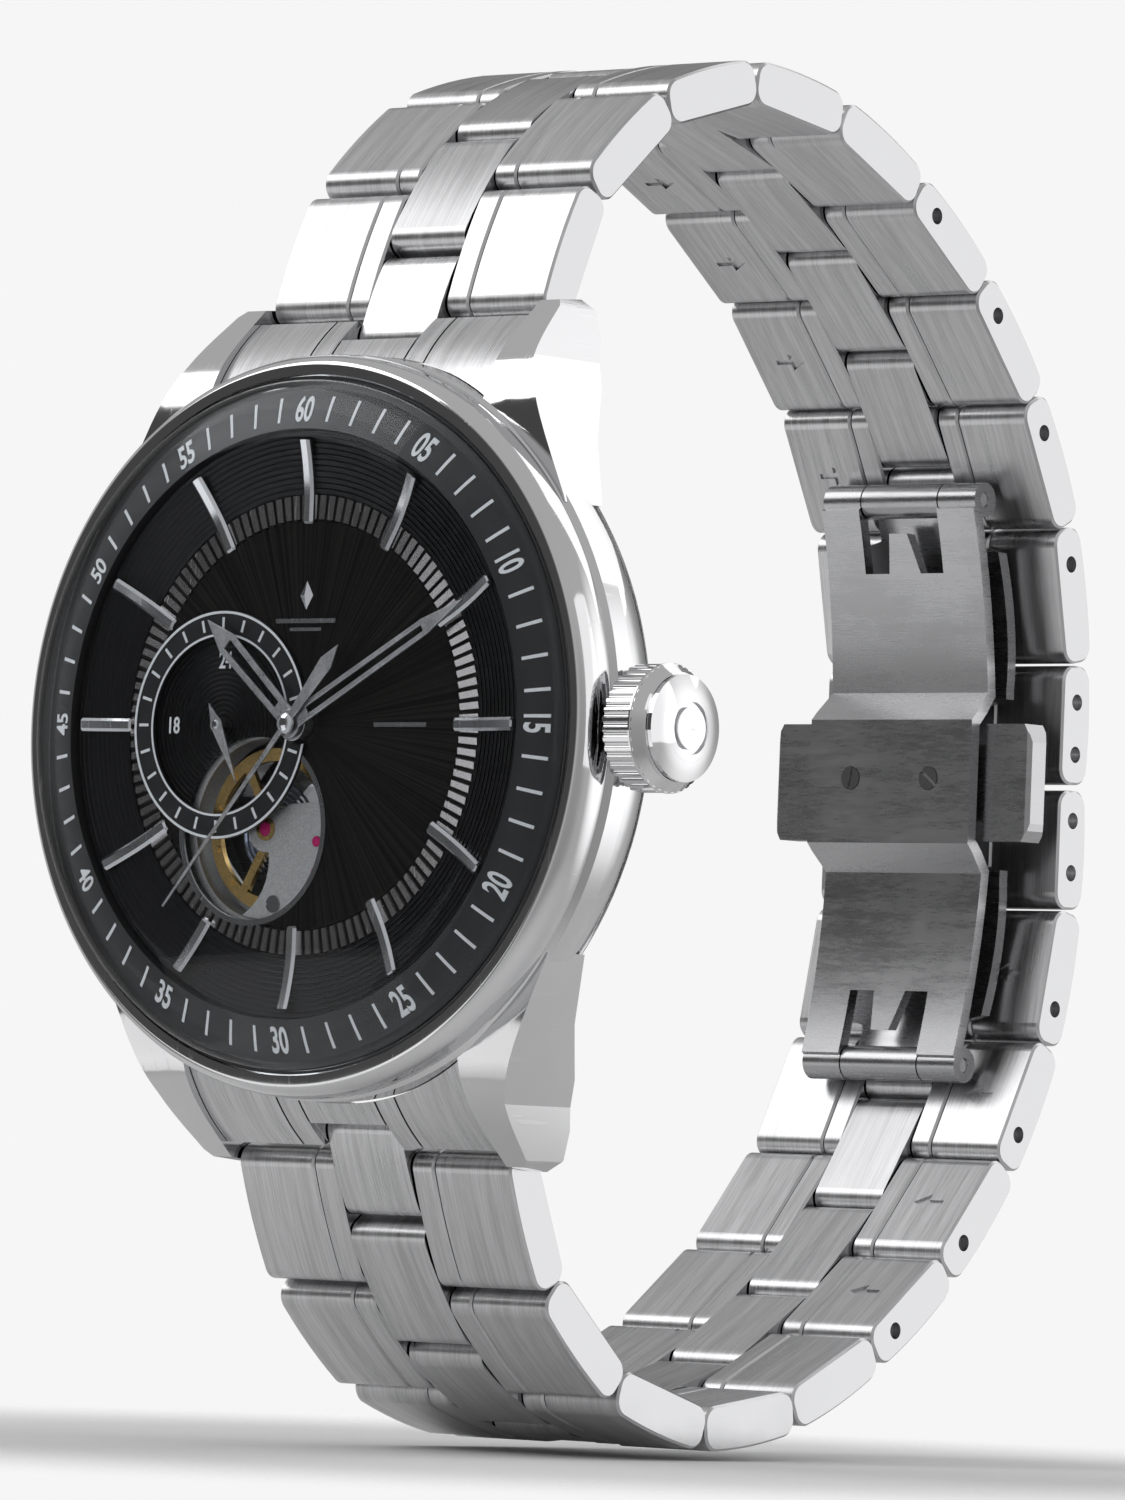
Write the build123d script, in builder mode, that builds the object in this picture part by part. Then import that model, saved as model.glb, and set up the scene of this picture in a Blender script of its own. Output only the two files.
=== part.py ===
from build123d import *
from math import asin, cos, pi, radians, sin
import os

os.makedirs("parts", exist_ok=True)

# A three-hand automatic wristwatch on a closed steel bracelet.
# Frame: origin at the centre of the case back, -Y out of the dial, +Y into the
# bracelet loop, +X to the crown at three o'clock, +Z to twelve o'clock.
# All dimensions are millimetres.

# Case and bezel
CASE_R = 22.0
CASE_TOP_Y = -6.6
BAND_LOW_Y = -4.9
CASE_BORE_R = 19.0
DIAL_SEAT_R = 20.0
CASE_REAR_Y = -0.9
BEZEL_R = 21.9
BEZEL_TOP_Y = -9.1
BEZEL_BORE_R = 20.03
CRYSTAL_R = 20.3
CRYSTAL_SEAT_Y = -8.7
CRYSTAL_EDGE_Y = -9.2
CRYSTAL_DOME_R = 17.6
CRYSTAL_DOME_START_Y = -10.95
CRYSTAL_DOME_Y = -11.7
CRYSTAL_HOLLOW_R = 17.3
CRYSTAL_HOLLOW_START_Y = -10.2
CRYSTAL_HOLLOW_Y = -10.9
GASKET_R = 20.5

# Lugs and end links
LUG_INNER_X = 10.75
END_LINK_HALF = 10.7
SPRING_BAR_R = 0.65
SPRING_BAR_BACK = 3.2
END_LINK_TOP = ((-6.3, 17.9), (-4.6, 21.5), (-1.7, 24.5))
END_LINK_GROOVE = ((-5.95, 17.9), (-4.3, 21.3), (-1.45, 24.25))

# Dial
DIAL_Y = -8.5
DIAL_BACK_Y = -8.1
DIAL_R = 19.9
FLAT_R = 12.0
FLUTE_R = 13.6
TRACK_R = 17.3
FLUTES = 120
GROOVES = 11
WINDOW = (-3.5, -6.1)
WINDOW_R = 5.4
DAY_CENTRE = (-6.3, 0.0)
DAY_OUTER_R = 6.75
DAY_INNER_R = 5.25

# Hour markers
MARKER_W = 0.78
MARKER_START = 11.8
MARKER_SHORT_START = 13.3
MARKER_BEND = 14.7
MARKER_END = 16.8
MARKER_SHORT = (7, 9)

# Hands: clockwise angle from twelve, level of the underside
HOUR_ANGLE = 311.5
MINUTE_ANGLE = 61.0
SECONDS_ANGLE = 220.0
DAY_ANGLE = 153.0
HOUR_Y = -9.3
MINUTE_Y = -9.62
SECONDS_Y = -9.95
DAY_HAND_Y = -8.95
HAND_T = 0.16

# Movement
MOVEMENT_R = 13.3
PLATE_FRONT_Y = -8.05
PLATE_BACK_Y = -6.6
BALANCE = (-3.0, -6.1)
BALANCE_R = 4.8
BALANCE_Y = -7.05
BRIDGE_FRONT_Y = -4.4
BRIDGE_BACK_Y = -3.5
ROTOR_R = 12.8
GLASS_R = 14.5
BACK_R = 18.9

# Crown
CROWN_Y = -4.9
CROWN_R = 3.7
CROWN_START_X = 22.7
CROWN_BARREL = 2.1
CROWN_FLUTES = 40
STEM_R = 0.7

# Bracelet
ROWS = 10
FIRST_PIVOT = (1.0, 26.62)
ROW_ANGLES = (67.0, 41.0, 16.0, -8.0, -25.0, -36.0, -48.0, -62.0, -78.0, -90.0)
PIN_INSET = 2.3
PIN_SPAN = 3.95
LINK_SPAN = 4.8
LINK_REACH = 1.85
LAST_SPAN = 5.2
HALF_T = 1.45
SHOULDER = 1.2
END_ROUND = 1.05
WIDTH_FIRST = 21.2
WIDTH_LAST = 18.9
CENTRE_SHARE = 0.135
STRIP_SHARE = 0.22
SIDE_GAP = 0.1
GROOVE_GAP = 0.06
PIN_R = 0.5
PIN_FIT = 0.02
RUN_FIT = 0.05
EDGE = 0.14
OPEN_PIN_ROWS = 5
ARROW_ROWS = {"upper": (5, 6, 7, 8), "lower": (6, 7, 8, 9)}

# Folding clasp
CLASP_PIVOT = (48.5, 17.8)
KNUCKLE_R = 1.1
HINGE_R = 0.45
WING_PIN_FROM_END = 1.9
WING_KNUCKLE_R = 1.15
PLATE_T = 0.8
BUTTON_HALF_Z = 3.7
BUTTON_Y = (48.75, 50.65)
BUTTON_X = (5.0, 10.1)

HALVES = {"upper": 1, "lower": -1}


def row_width(row):
    """Width of a bracelet row, counted from 0 at the case."""
    return WIDTH_FIRST + (WIDTH_LAST - WIDTH_FIRST) * row / (ROWS - 1)


def step(point, angle, length):
    """Point in the YZ plane moved by a length along an angle from +Y towards +Z."""
    return (point[0] + length * cos(radians(angle)), point[1] + length * sin(radians(angle)))


def side_plane(point, angle, side):
    """Plane of a link's side view: local x along the link, local y out of the loop."""
    direction = (0, cos(radians(angle)), side * sin(radians(angle)))
    return Plane(origin=(0, point[0], side * point[1]), x_dir=direction, z_dir=(side, 0, 0))


def hand_plane(level, angle, centre=(0.0, 0.0)):
    """Plane parallel to the dial whose local y points along a hand."""
    turn = (cos(radians(angle)), 0, -sin(radians(angle)))
    return Plane(origin=(centre[0], level, centre[1]), x_dir=turn, z_dir=(0, -1, 0))


def link_profile(start, end):
    """Side view of a link: flat inner face, crowned outer face, rounded ends."""
    with BuildSketch() as profile:
        with BuildLine():
            Polyline((end, SHOULDER), (end, -HALF_T), (start, -HALF_T), (start, SHOULDER))
            ThreePointArc((start, SHOULDER), ((start + end) / 2, HALF_T), (end, SHOULDER))
        make_face()
        fillet(profile.vertices(), END_ROUND)
    return profile.sketch


def dome_middle(radius, height):
    """Radius and depth below the apex of the point half way along a dome's arc."""
    sphere = (radius ** 2 + height ** 2) / (2 * height)
    half = asin(radius / sphere) / 2
    return (sphere * sin(half), sphere * (1 - cos(half)))


def outline(points):
    """Closed straight-sided face."""
    Polygon(*points, align=None)


# Pivot of every row and of every fixed link pin, from the case to the clasp
pivots = [FIRST_PIVOT]
fixed_pins = []
link_angles = []
for row in range(ROWS - 1):
    fixed_pins.append(step(pivots[row], ROW_ANGLES[row], PIN_SPAN))
    link_angles.append((ROW_ANGLES[row] + ROW_ANGLES[row + 1]) / 2)
    pivots.append(step(fixed_pins[row], link_angles[row], LINK_SPAN))
wing_pin = step(pivots[-1], ROW_ANGLES[-1], LAST_SPAN - WING_PIN_FROM_END)
spring_bar = step(FIRST_PIVOT, ROW_ANGLES[0], -SPRING_BAR_BACK)

# Lugs grow out of the round case and drop to the bracelet
with BuildPart() as case_middle:
    with BuildSketch(Plane.XZ):
        outline([(LUG_INNER_X, 13.0), (LUG_INNER_X, 25.7), (11.9, 25.7), (12.6, 25.0),
                 (13.5, 21.8), (15.3, 17.9), (17.6, 13.0)])
    extrude(amount=12, both=True)
    with BuildSketch(Plane.YZ):
        with BuildLine():
            Spline((-6.5, 13.0), (-6.3, 18.2), (-5.7, 20.6), (-3.9, 23.0), (-1.3, 25.4))
            Polyline((-1.3, 25.4), (0.9, 25.6), (1.6, 24.9), (1.5, 23.2), (0.4, 20.2),
                     (-1.6, 17.0), (-3.2, 13.0), (-6.5, 13.0))
        make_face()
    extrude(amount=30, both=True, mode=Mode.INTERSECT)
    mirror(about=Plane.YZ)
    mirror(about=Plane.XY)
    with BuildSketch(Plane.XZ):
        Circle(CASE_R - 0.9)
    extrude(amount=12, both=True, mode=Mode.SUBTRACT)
    with BuildSketch(Plane.XY):
        with BuildLine():
            Polyline((DIAL_SEAT_R, CASE_TOP_Y), (CASE_R - 0.35, CASE_TOP_Y),
                     (CASE_R, CASE_TOP_Y + 0.35), (CASE_R, BAND_LOW_Y))
            ThreePointArc((CASE_R, BAND_LOW_Y), (21.35, -2.7), (20.0, -1.1))
            Polyline((20.0, -1.1), (CASE_BORE_R, CASE_REAR_Y), (CASE_BORE_R, DIAL_BACK_Y),
                     (DIAL_SEAT_R, DIAL_BACK_Y), (DIAL_SEAT_R, CASE_TOP_Y))
        make_face()
    revolve(axis=Axis.Y)
    with BuildSketch(Plane.YZ.offset(17.0)):
        with Locations((CROWN_Y, 0)):
            Circle(1.6)
    extrude(amount=6, mode=Mode.SUBTRACT)
    with BuildSketch(Plane.YZ.offset(21.7)):
        with Locations((CROWN_Y, 0)):
            Circle(3.0)
    extrude(amount=1, mode=Mode.SUBTRACT)
    for side in HALVES.values():
        with BuildSketch(Plane.YZ):
            with Locations((spring_bar[0], side * spring_bar[1])):
                Circle(SPRING_BAR_R + PIN_FIT)
        extrude(amount=LUG_INNER_X + 0.9, both=True, mode=Mode.SUBTRACT)
case_middle.part.label = "case_middle"
export_step(case_middle.part, "parts/case_middle.step")

# Bezel: thin polished ring that carries the crystal
with BuildPart() as bezel:
    with BuildSketch(Plane.XY):
        with BuildLine():
            Polyline((21.1, BEZEL_TOP_Y), (GASKET_R, BEZEL_TOP_Y + 0.05),
                     (GASKET_R, CRYSTAL_SEAT_Y), (BEZEL_BORE_R, CRYSTAL_SEAT_Y),
                     (BEZEL_BORE_R, CASE_TOP_Y - 0.02), (BEZEL_R - 0.3, CASE_TOP_Y - 0.02),
                     (BEZEL_R, CASE_TOP_Y - 0.3), (BEZEL_R, -7.4))
            ThreePointArc((BEZEL_R, -7.4), (21.7, -8.45), (21.1, BEZEL_TOP_Y))
        make_face()
    revolve(axis=Axis.Y)
bezel.part.label = "bezel"
export_step(bezel.part, "parts/bezel.step")

# Crystal: hollow box form with a rounded shoulder and a domed top
with BuildPart() as crystal:
    with BuildSketch(Plane.XY):
        with BuildLine():
            Polyline((BEZEL_BORE_R, CRYSTAL_SEAT_Y - 0.01), (CRYSTAL_R, CRYSTAL_SEAT_Y - 0.01),
                     (CRYSTAL_R, CRYSTAL_EDGE_Y))
            ThreePointArc((CRYSTAL_R, CRYSTAL_EDGE_Y), (19.35, -10.3),
                          (CRYSTAL_DOME_R, CRYSTAL_DOME_START_Y))
            middle = dome_middle(CRYSTAL_DOME_R, CRYSTAL_DOME_START_Y - CRYSTAL_DOME_Y)
            ThreePointArc((CRYSTAL_DOME_R, CRYSTAL_DOME_START_Y),
                          (middle[0], CRYSTAL_DOME_Y + middle[1]), (0, CRYSTAL_DOME_Y))
            Line((0, CRYSTAL_DOME_Y), (0, CRYSTAL_HOLLOW_Y))
            middle = dome_middle(CRYSTAL_HOLLOW_R, CRYSTAL_HOLLOW_START_Y - CRYSTAL_HOLLOW_Y)
            ThreePointArc((0, CRYSTAL_HOLLOW_Y), (middle[0], CRYSTAL_HOLLOW_Y + middle[1]),
                          (CRYSTAL_HOLLOW_R, CRYSTAL_HOLLOW_START_Y))
            Polyline((CRYSTAL_HOLLOW_R, CRYSTAL_HOLLOW_START_Y), (19.6, CRYSTAL_EDGE_Y - 0.05),
                     (BEZEL_BORE_R, CRYSTAL_SEAT_Y - 0.01))
        make_face()
    revolve(axis=Axis.Y)
crystal.part.label = "crystal"
export_step(crystal.part, "parts/crystal.step")

with BuildPart() as crystal_gasket:
    with BuildSketch(Plane.XZ.offset(-CRYSTAL_SEAT_Y + 0.02)):
        Circle(GASKET_R - 0.02)
        Circle(CRYSTAL_R + 0.02, mode=Mode.SUBTRACT)
    extrude(amount=0.3)
crystal_gasket.part.label = "crystal_gasket"
export_step(crystal_gasket.part, "parts/crystal_gasket.step")

# Dial: flat centre, fluted step, grooved outer track that climbs to the minute ring
with BuildPart() as dial:
    groove_pitch = (TRACK_R - FLUTE_R) / GROOVES
    track = []
    for groove in range(GROOVES):
        radius = FLUTE_R + groove * groove_pitch
        level = DIAL_Y - 0.05 - 0.04 * groove
        track += [(radius, level), (radius + groove_pitch * 0.75, level - 0.05),
                  (radius + groove_pitch * 0.78, level + 0.02)]
    with BuildSketch(Plane.XY):
        outline([(0, DIAL_BACK_Y), (0, DIAL_Y), (FLAT_R, DIAL_Y), (FLAT_R, DIAL_Y + 0.14),
                 (FLUTE_R, DIAL_Y + 0.14)] + track
                + [(TRACK_R, DIAL_Y - 0.45), (TRACK_R, DIAL_Y + 0.06),
                   (DIAL_R, DIAL_Y + 0.06), (DIAL_R, DIAL_BACK_Y)])
    revolve(axis=Axis.Y)
    with BuildSketch(Plane.XZ.offset(-DIAL_Y - 0.2)):
        with PolarLocations((FLAT_R + FLUTE_R) / 2, FLUTES):
            Rectangle(FLUTE_R - FLAT_R - 0.1, 0.36)
    extrude(amount=0.17)
    with BuildSketch(Plane.XZ.offset(-DIAL_Y - 0.12)):
        with Locations(DAY_CENTRE):
            Circle(DAY_INNER_R)
    extrude(amount=1.0, mode=Mode.SUBTRACT)
    with BuildSketch(Plane.XZ.offset(7.5)):
        with Locations(WINDOW):
            Circle(WINDOW_R)
        Circle(0.95)
        with Locations(DAY_CENTRE):
            Circle(0.4)
    extrude(amount=3.0, mode=Mode.SUBTRACT)
dial.part.label = "dial"
export_step(dial.part, "parts/dial.step")

# Polished rim of the dial window
with BuildPart() as window_rim:
    with BuildSketch(Plane.XZ.offset(-DIAL_Y + 0.01)):
        with Locations(WINDOW):
            Circle(WINDOW_R + 0.32)
            Circle(WINDOW_R - 0.02, mode=Mode.SUBTRACT)
        with Locations(DAY_CENTRE):
            Circle(DAY_OUTER_R + 0.05, mode=Mode.SUBTRACT)
        Circle(1.2, mode=Mode.SUBTRACT)
    extrude(amount=0.14)
window_rim.part.label = "window_rim"
export_step(window_rim.part, "parts/window_rim.step")

# Twenty-four-hour ring: bridges the window
with BuildPart() as day_ring:
    with BuildSketch(Plane.XZ.offset(-DIAL_Y + 0.01)):
        with Locations(DAY_CENTRE):
            Circle(DAY_OUTER_R)
            Circle(DAY_INNER_R, mode=Mode.SUBTRACT)
        Circle(1.15, mode=Mode.SUBTRACT)
    extrude(amount=0.2)
day_ring.part.label = "day_ring"
export_step(day_ring.part, "parts/day_ring.step")

with BuildPart() as day_scale:
    with BuildSketch(Plane.XZ.offset(-DIAL_Y + 0.22)):
        with Locations(DAY_CENTRE):
            Circle(DAY_OUTER_R - 0.02)
            Circle(DAY_OUTER_R - 0.17, mode=Mode.SUBTRACT)
        Circle(1.17, mode=Mode.SUBTRACT)
    extrude(amount=0.03)
    with BuildSketch(Plane.XZ.offset(-DIAL_Y + 0.22)):
        with Locations(DAY_CENTRE):
            Circle(DAY_INNER_R + 0.15)
            Circle(DAY_INNER_R + 0.02, mode=Mode.SUBTRACT)
        Circle(1.17, mode=Mode.SUBTRACT)
    extrude(amount=0.03)
    with BuildSketch(Plane.XZ.offset(-DIAL_Y + 0.22)):
        with Locations(DAY_CENTRE):
            with PolarLocations((DAY_OUTER_R + DAY_INNER_R) / 2, 24):
                Rectangle(0.72, 0.17)
        Circle(1.17, mode=Mode.SUBTRACT)
    extrude(amount=0.03)
day_scale.part.label = "day_scale"
export_step(day_scale.part, "parts/day_scale.step")

# Minute ring: cone that falls from the dial track to the bezel
with BuildPart() as minute_ring:
    with BuildSketch(Plane.XY):
        outline([(TRACK_R + 0.05, DIAL_Y + 0.04), (TRACK_R + 0.05, DIAL_Y - 1.2),
                 (19.5, DIAL_Y - 0.42), (DIAL_R, DIAL_Y - 0.2), (DIAL_R, DIAL_Y + 0.04)])
    revolve(axis=Axis.Y)
minute_ring.part.label = "minute_ring"
export_step(minute_ring.part, "parts/minute_ring.step")

# Hour markers: bent batons with a ridge, standing on the outer track
with BuildPart() as hour_markers:
    for hour in range(12):
        start = MARKER_SHORT_START if hour in MARKER_SHORT else MARKER_START
        turn = (sin(radians(30 * hour)), 0, cos(radians(30 * hour)))
        across = (-cos(radians(30 * hour)), 0, sin(radians(30 * hour)))
        low = DIAL_Y - 0.02
        with BuildSketch(Plane(origin=(0, 0, 0), x_dir=turn, z_dir=across)):
            outline([(start, low - 0.02), (start, low - 0.34), (MARKER_BEND, low - 0.62),
                     (MARKER_END, low - 1.1), (MARKER_END, low - 0.62),
                     (MARKER_BEND, low - 0.26), (13.7, low - 0.12), (FLAT_R, low - 0.02)]
                    if start < FLAT_R else
                    [(start, low - 0.12), (start, low - 0.42), (MARKER_BEND, low - 0.62),
                     (MARKER_END, low - 1.1), (MARKER_END, low - 0.62), (MARKER_BEND, low - 0.26)])
        extrude(amount=MARKER_W / 2, both=True)
hour_markers.part.label = "hour_markers"
export_step(hour_markers.part, "parts/hour_markers.step")

# Hour hand: open frame with a pointed tip on its pipe
with BuildPart() as hour_hand:
    with BuildSketch(hand_plane(HOUR_Y, HOUR_ANGLE)):
        outline([(-0.6, 0), (-0.72, 7.2), (0, 9.3), (0.72, 7.2), (0.6, 0)])
        Circle(1.0)
        outline_slot = [(-0.22, 1.7), (-0.34, 7.1), (0.34, 7.1), (0.22, 1.7)]
        Polygon(*outline_slot, align=None, mode=Mode.SUBTRACT)
    extrude(amount=HAND_T)
    with BuildSketch(hand_plane(HOUR_Y, 0)):
        Circle(0.85)
    extrude(amount=-1.3)
    with BuildSketch(hand_plane(HOUR_Y, 0)):
        Circle(0.56)
    extrude(amount=2.0, both=True, mode=Mode.SUBTRACT)
hour_hand.part.label = "hour_hand"
export_step(hour_hand.part, "parts/hour_hand.step")

with BuildPart() as minute_hand:
    with BuildSketch(hand_plane(MINUTE_Y, MINUTE_ANGLE)):
        outline([(-0.55, 0), (-0.5, 11.6), (0, 14.9), (0.5, 11.6), (0.55, 0)])
        Circle(0.85)
        Polygon((-0.22, 1.6), (-0.2, 11.4), (0.2, 11.4), (0.22, 1.6), align=None,
                mode=Mode.SUBTRACT)
    extrude(amount=HAND_T)
    with BuildSketch(hand_plane(MINUTE_Y, 0)):
        Circle(0.51)
    extrude(amount=-2.6)
    with BuildSketch(hand_plane(MINUTE_Y, 0)):
        Circle(0.25)
    extrude(amount=3.0, both=True, mode=Mode.SUBTRACT)
minute_hand.part.label = "minute_hand"
export_step(minute_hand.part, "parts/minute_hand.step")

# Seconds hand: needle with a paddle counterweight
with BuildPart() as seconds_hand:
    with BuildSketch(hand_plane(SECONDS_Y, SECONDS_ANGLE)):
        outline([(-0.17, 0), (-0.07, 14.1), (0.07, 14.1), (0.17, 0)])
        outline([(0.2, 0), (0.5, -4.6), (0, -6.0), (-0.5, -4.6), (-0.2, 0)])
        Circle(0.62)
    extrude(amount=0.12)
    with BuildSketch(hand_plane(SECONDS_Y, 0)):
        Circle(0.2)
    extrude(amount=-2.9)
seconds_hand.part.label = "seconds_hand"
export_step(seconds_hand.part, "parts/seconds_hand.step")

with BuildPart() as day_hand:
    with BuildSketch(hand_plane(DAY_HAND_Y, DAY_ANGLE, DAY_CENTRE)):
        outline([(-0.42, 0), (0, 3.95), (0.42, 0), (0, -1.45)])
        Circle(0.45)
    extrude(amount=0.12)
    with BuildSketch(hand_plane(DAY_HAND_Y, 0, DAY_CENTRE)):
        Circle(0.3)
    extrude(amount=-0.8)
day_hand.part.label = "day_hand"
export_step(day_hand.part, "parts/day_hand.step")

# Main plate of the movement
with BuildPart() as main_plate:
    with BuildSketch(Plane.XZ.offset(-PLATE_BACK_Y)):
        Circle(MOVEMENT_R)
        with Locations(BALANCE):
            Circle(5.35, mode=Mode.SUBTRACT)
        Circle(1.0, mode=Mode.SUBTRACT)
        with Locations(DAY_CENTRE):
            Circle(0.35, mode=Mode.SUBTRACT)
        with Locations((MOVEMENT_R, 0)):
            Rectangle(4.0, 3.2, mode=Mode.SUBTRACT)
    extrude(amount=PLATE_BACK_Y - PLATE_FRONT_Y)
main_plate.part.label = "main_plate"
export_step(main_plate.part, "parts/main_plate.step")

# Casing ring that centres the movement
with BuildPart() as casing_ring:
    with BuildSketch(Plane.XZ.offset(2.2)):
        Circle(CASE_BORE_R - 0.05)
        Circle(MOVEMENT_R + 0.05, mode=Mode.SUBTRACT)
    extrude(amount=5.85)
    with BuildSketch(Plane.YZ.offset(12.0)):
        with Locations((CROWN_Y, 0)):
            Circle(1.4)
    extrude(amount=8, mode=Mode.SUBTRACT)
casing_ring.part.label = "casing_ring"
export_step(casing_ring.part, "parts/casing_ring.step")

# Balance wheel with rim screws, spokes and staff
with BuildPart() as balance_wheel:
    with BuildSketch(Plane.XZ.offset(-BALANCE_Y)):
        with Locations(BALANCE):
            Circle(BALANCE_R)
            Circle(BALANCE_R - 0.75, mode=Mode.SUBTRACT)
            Circle(0.6)
            with PolarLocations(2.3, 3):
                Rectangle(3.8, 0.55)
    extrude(amount=0.35)
    with BuildSketch(Plane.XZ.offset(-BALANCE_Y + 0.35)):
        with Locations(BALANCE):
            with PolarLocations(BALANCE_R - 0.38, 12, 15):
                Circle(0.2)
    extrude(amount=0.08)
    with BuildSketch(Plane.XZ.offset(-BALANCE_Y - 1.6)):
        with Locations(BALANCE):
            Circle(0.15)
    extrude(amount=2.15)
balance_wheel.part.label = "balance_wheel"
export_step(balance_wheel.part, "parts/balance_wheel.step")

# Hairspring: flat spiral strip
with BuildPart() as hairspring:
    turns = 7
    samples = 24 * turns
    spiral_in = []
    spiral_out = []
    for sample in range(samples + 1):
        angle = 2 * pi * turns * sample / samples
        radius = 0.6 + 2.3 * sample / samples
        spiral_in.append((BALANCE[0] + radius * cos(angle), BALANCE[1] + radius * sin(angle)))
        spiral_out.append((BALANCE[0] + (radius + 0.08) * cos(angle),
                           BALANCE[1] + (radius + 0.08) * sin(angle)))
    with BuildSketch(Plane.XZ.offset(-BALANCE_Y - 0.5)):
        outline(spiral_in + spiral_out[::-1])
    extrude(amount=0.22)
hairspring.part.label = "hairspring"
export_step(hairspring.part, "parts/hairspring.step")

# Frosted front bridge seen through the dial window
with BuildPart() as balance_bridge:
    with BuildSketch(Plane.XZ.offset(7.62)):
        with Locations(BALANCE):
            Circle(5.3)
        with Locations((-6.2, -8.0)):
            Circle(3.55, mode=Mode.SUBTRACT)
        Polygon((-9.0, 0.0), (4.0, 0.0), (4.0, -4.3), (-0.9, -4.6), (-2.6, -5.0), (-3.2, -4.7),
                (-9.0, -5.2), align=None, mode=Mode.SUBTRACT)
        with Locations(BALANCE):
            Circle(1.35)
            Circle(0.7, mode=Mode.SUBTRACT)
        with Locations((1.0, -6.8), (1.0, -8.6)):
            Circle(0.33, mode=Mode.SUBTRACT)
        with Locations((-2.2, -10.5)):
            Circle(0.52, mode=Mode.SUBTRACT)
    extrude(amount=0.35)
balance_bridge.part.label = "balance_bridge"
export_step(balance_bridge.part, "parts/balance_bridge.step")

# Gold setting of the balance jewel
with BuildPart() as jewel_setting:
    with BuildSketch(Plane.XZ.offset(7.64)):
        with Locations(BALANCE):
            Circle(0.68)
            Circle(0.43, mode=Mode.SUBTRACT)
    extrude(amount=0.4)
jewel_setting.part.label = "jewel_setting"
export_step(jewel_setting.part, "parts/jewel_setting.step")

# Barrel and train wheels on three levels
GEARS = (((4.6, 6.2), 5.4, 60, -6.5), ((3.8, -4.0), 4.6, 54, -5.9), ((-4.8, 6.4), 3.9, 45, -5.3))
with BuildPart() as gear_train:
    for centre, radius, teeth, level in GEARS:
        with BuildSketch(Plane.XZ.offset(-level - 0.4)):
            with Locations(centre):
                Circle(radius - 0.35)
                with PolarLocations(radius - 0.35, teeth):
                    Rectangle(0.7, 0.24)
                with PolarLocations(radius * 0.55, 5):
                    Circle(radius * 0.19, mode=Mode.SUBTRACT)
        extrude(amount=0.35)
gear_train.part.label = "gear_train"
export_step(gear_train.part, "parts/gear_train.step")

# Rear bridge with its jewel holes
REAR_JEWELS = ((4.6, 6.2), (3.8, -4.0), (-4.8, 6.4), (7.6, 0.9))
with BuildPart() as rear_bridge:
    with BuildSketch(Plane.XZ.offset(-BRIDGE_BACK_Y)):
        Circle(MOVEMENT_R - 0.3)
        with Locations(BALANCE):
            Circle(5.5, mode=Mode.SUBTRACT)
        outline_cut = [(-14, -14), (-2.0, -14), (-4.5, -9.0), (-8.0, -4.0), (-14, -2.0)]
        Polygon(*outline_cut, align=None, mode=Mode.SUBTRACT)
        with Locations(*REAR_JEWELS):
            Circle(0.62, mode=Mode.SUBTRACT)
    extrude(amount=BRIDGE_BACK_Y - BRIDGE_FRONT_Y)
rear_bridge.part.label = "rear_bridge"
export_step(rear_bridge.part, "parts/rear_bridge.step")

# Jewels of the front and rear bridges
with BuildPart() as jewels:
    with BuildSketch(Plane.XZ.offset(7.66)):
        with Locations(BALANCE):
            Circle(0.41)
        with Locations((1.0, -6.8), (1.0, -8.6)):
            Circle(0.31)
    extrude(amount=0.36)
    with BuildSketch(Plane.XZ.offset(-BRIDGE_BACK_Y)):
        with Locations(*REAR_JEWELS):
            Circle(0.6)
            Circle(0.14, mode=Mode.SUBTRACT)
    extrude(amount=0.5)
jewels.part.label = "jewels"
export_step(jewels.part, "parts/jewels.step")

# Slotted bridge screw at the front, and the flanged post that carries the rotor at the back
with BuildPart() as movement_fittings:
    with BuildSketch(Plane.XZ.offset(7.5)):
        with Locations((-2.2, -10.5)):
            Circle(0.5)
    extrude(amount=0.55)
    with BuildSketch(Plane.XZ.offset(7.95)):
        with Locations((-2.2, -10.5)):
            Rectangle(1.2, 0.14)
    extrude(amount=0.2, mode=Mode.SUBTRACT)
    with BuildSketch(Plane.XZ.offset(-BRIDGE_BACK_Y)):
        Circle(1.2)
    extrude(amount=-1.9)
    with BuildSketch(Plane.XZ.offset(-BRIDGE_BACK_Y)):
        Circle(1.9)
    extrude(amount=-0.3)
movement_fittings.part.label = "movement_fittings"
export_step(movement_fittings.part, "parts/movement_fittings.step")

# Half-disc rotor that swings on the post
with BuildPart() as rotor:
    with BuildSketch(Plane.XZ.offset(2.45)):
        with BuildLine():
            CenterArc((0, 0), ROTOR_R, 180, 180)
            Polyline((ROTOR_R, 0), (2.3, 0.9), (-2.3, 0.9), (-ROTOR_R, 0))
        make_face()
        Circle(2.6)
        Circle(1.25, mode=Mode.SUBTRACT)
        with PolarLocations(6.2, 4, 225, 90, rotate=True):
            SlotOverall(3.0, 1.3, mode=Mode.SUBTRACT)
    extrude(amount=0.5)
    with BuildSketch(Plane.XZ.offset(1.75)):
        with BuildLine():
            CenterArc((0, 0), ROTOR_R, 183, 174)
            Line(PolarLine((0, 0), ROTOR_R, 357, mode=Mode.PRIVATE) @ 1,
                 PolarLine((0, 0), 9.8, 357, mode=Mode.PRIVATE) @ 1)
            CenterArc((0, 0), 9.8, 183, 174)
            Line(PolarLine((0, 0), ROTOR_R, 183, mode=Mode.PRIVATE) @ 1,
                 PolarLine((0, 0), 9.8, 183, mode=Mode.PRIVATE) @ 1)
        make_face()
    extrude(amount=1.2)
rotor.part.label = "rotor"
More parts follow.
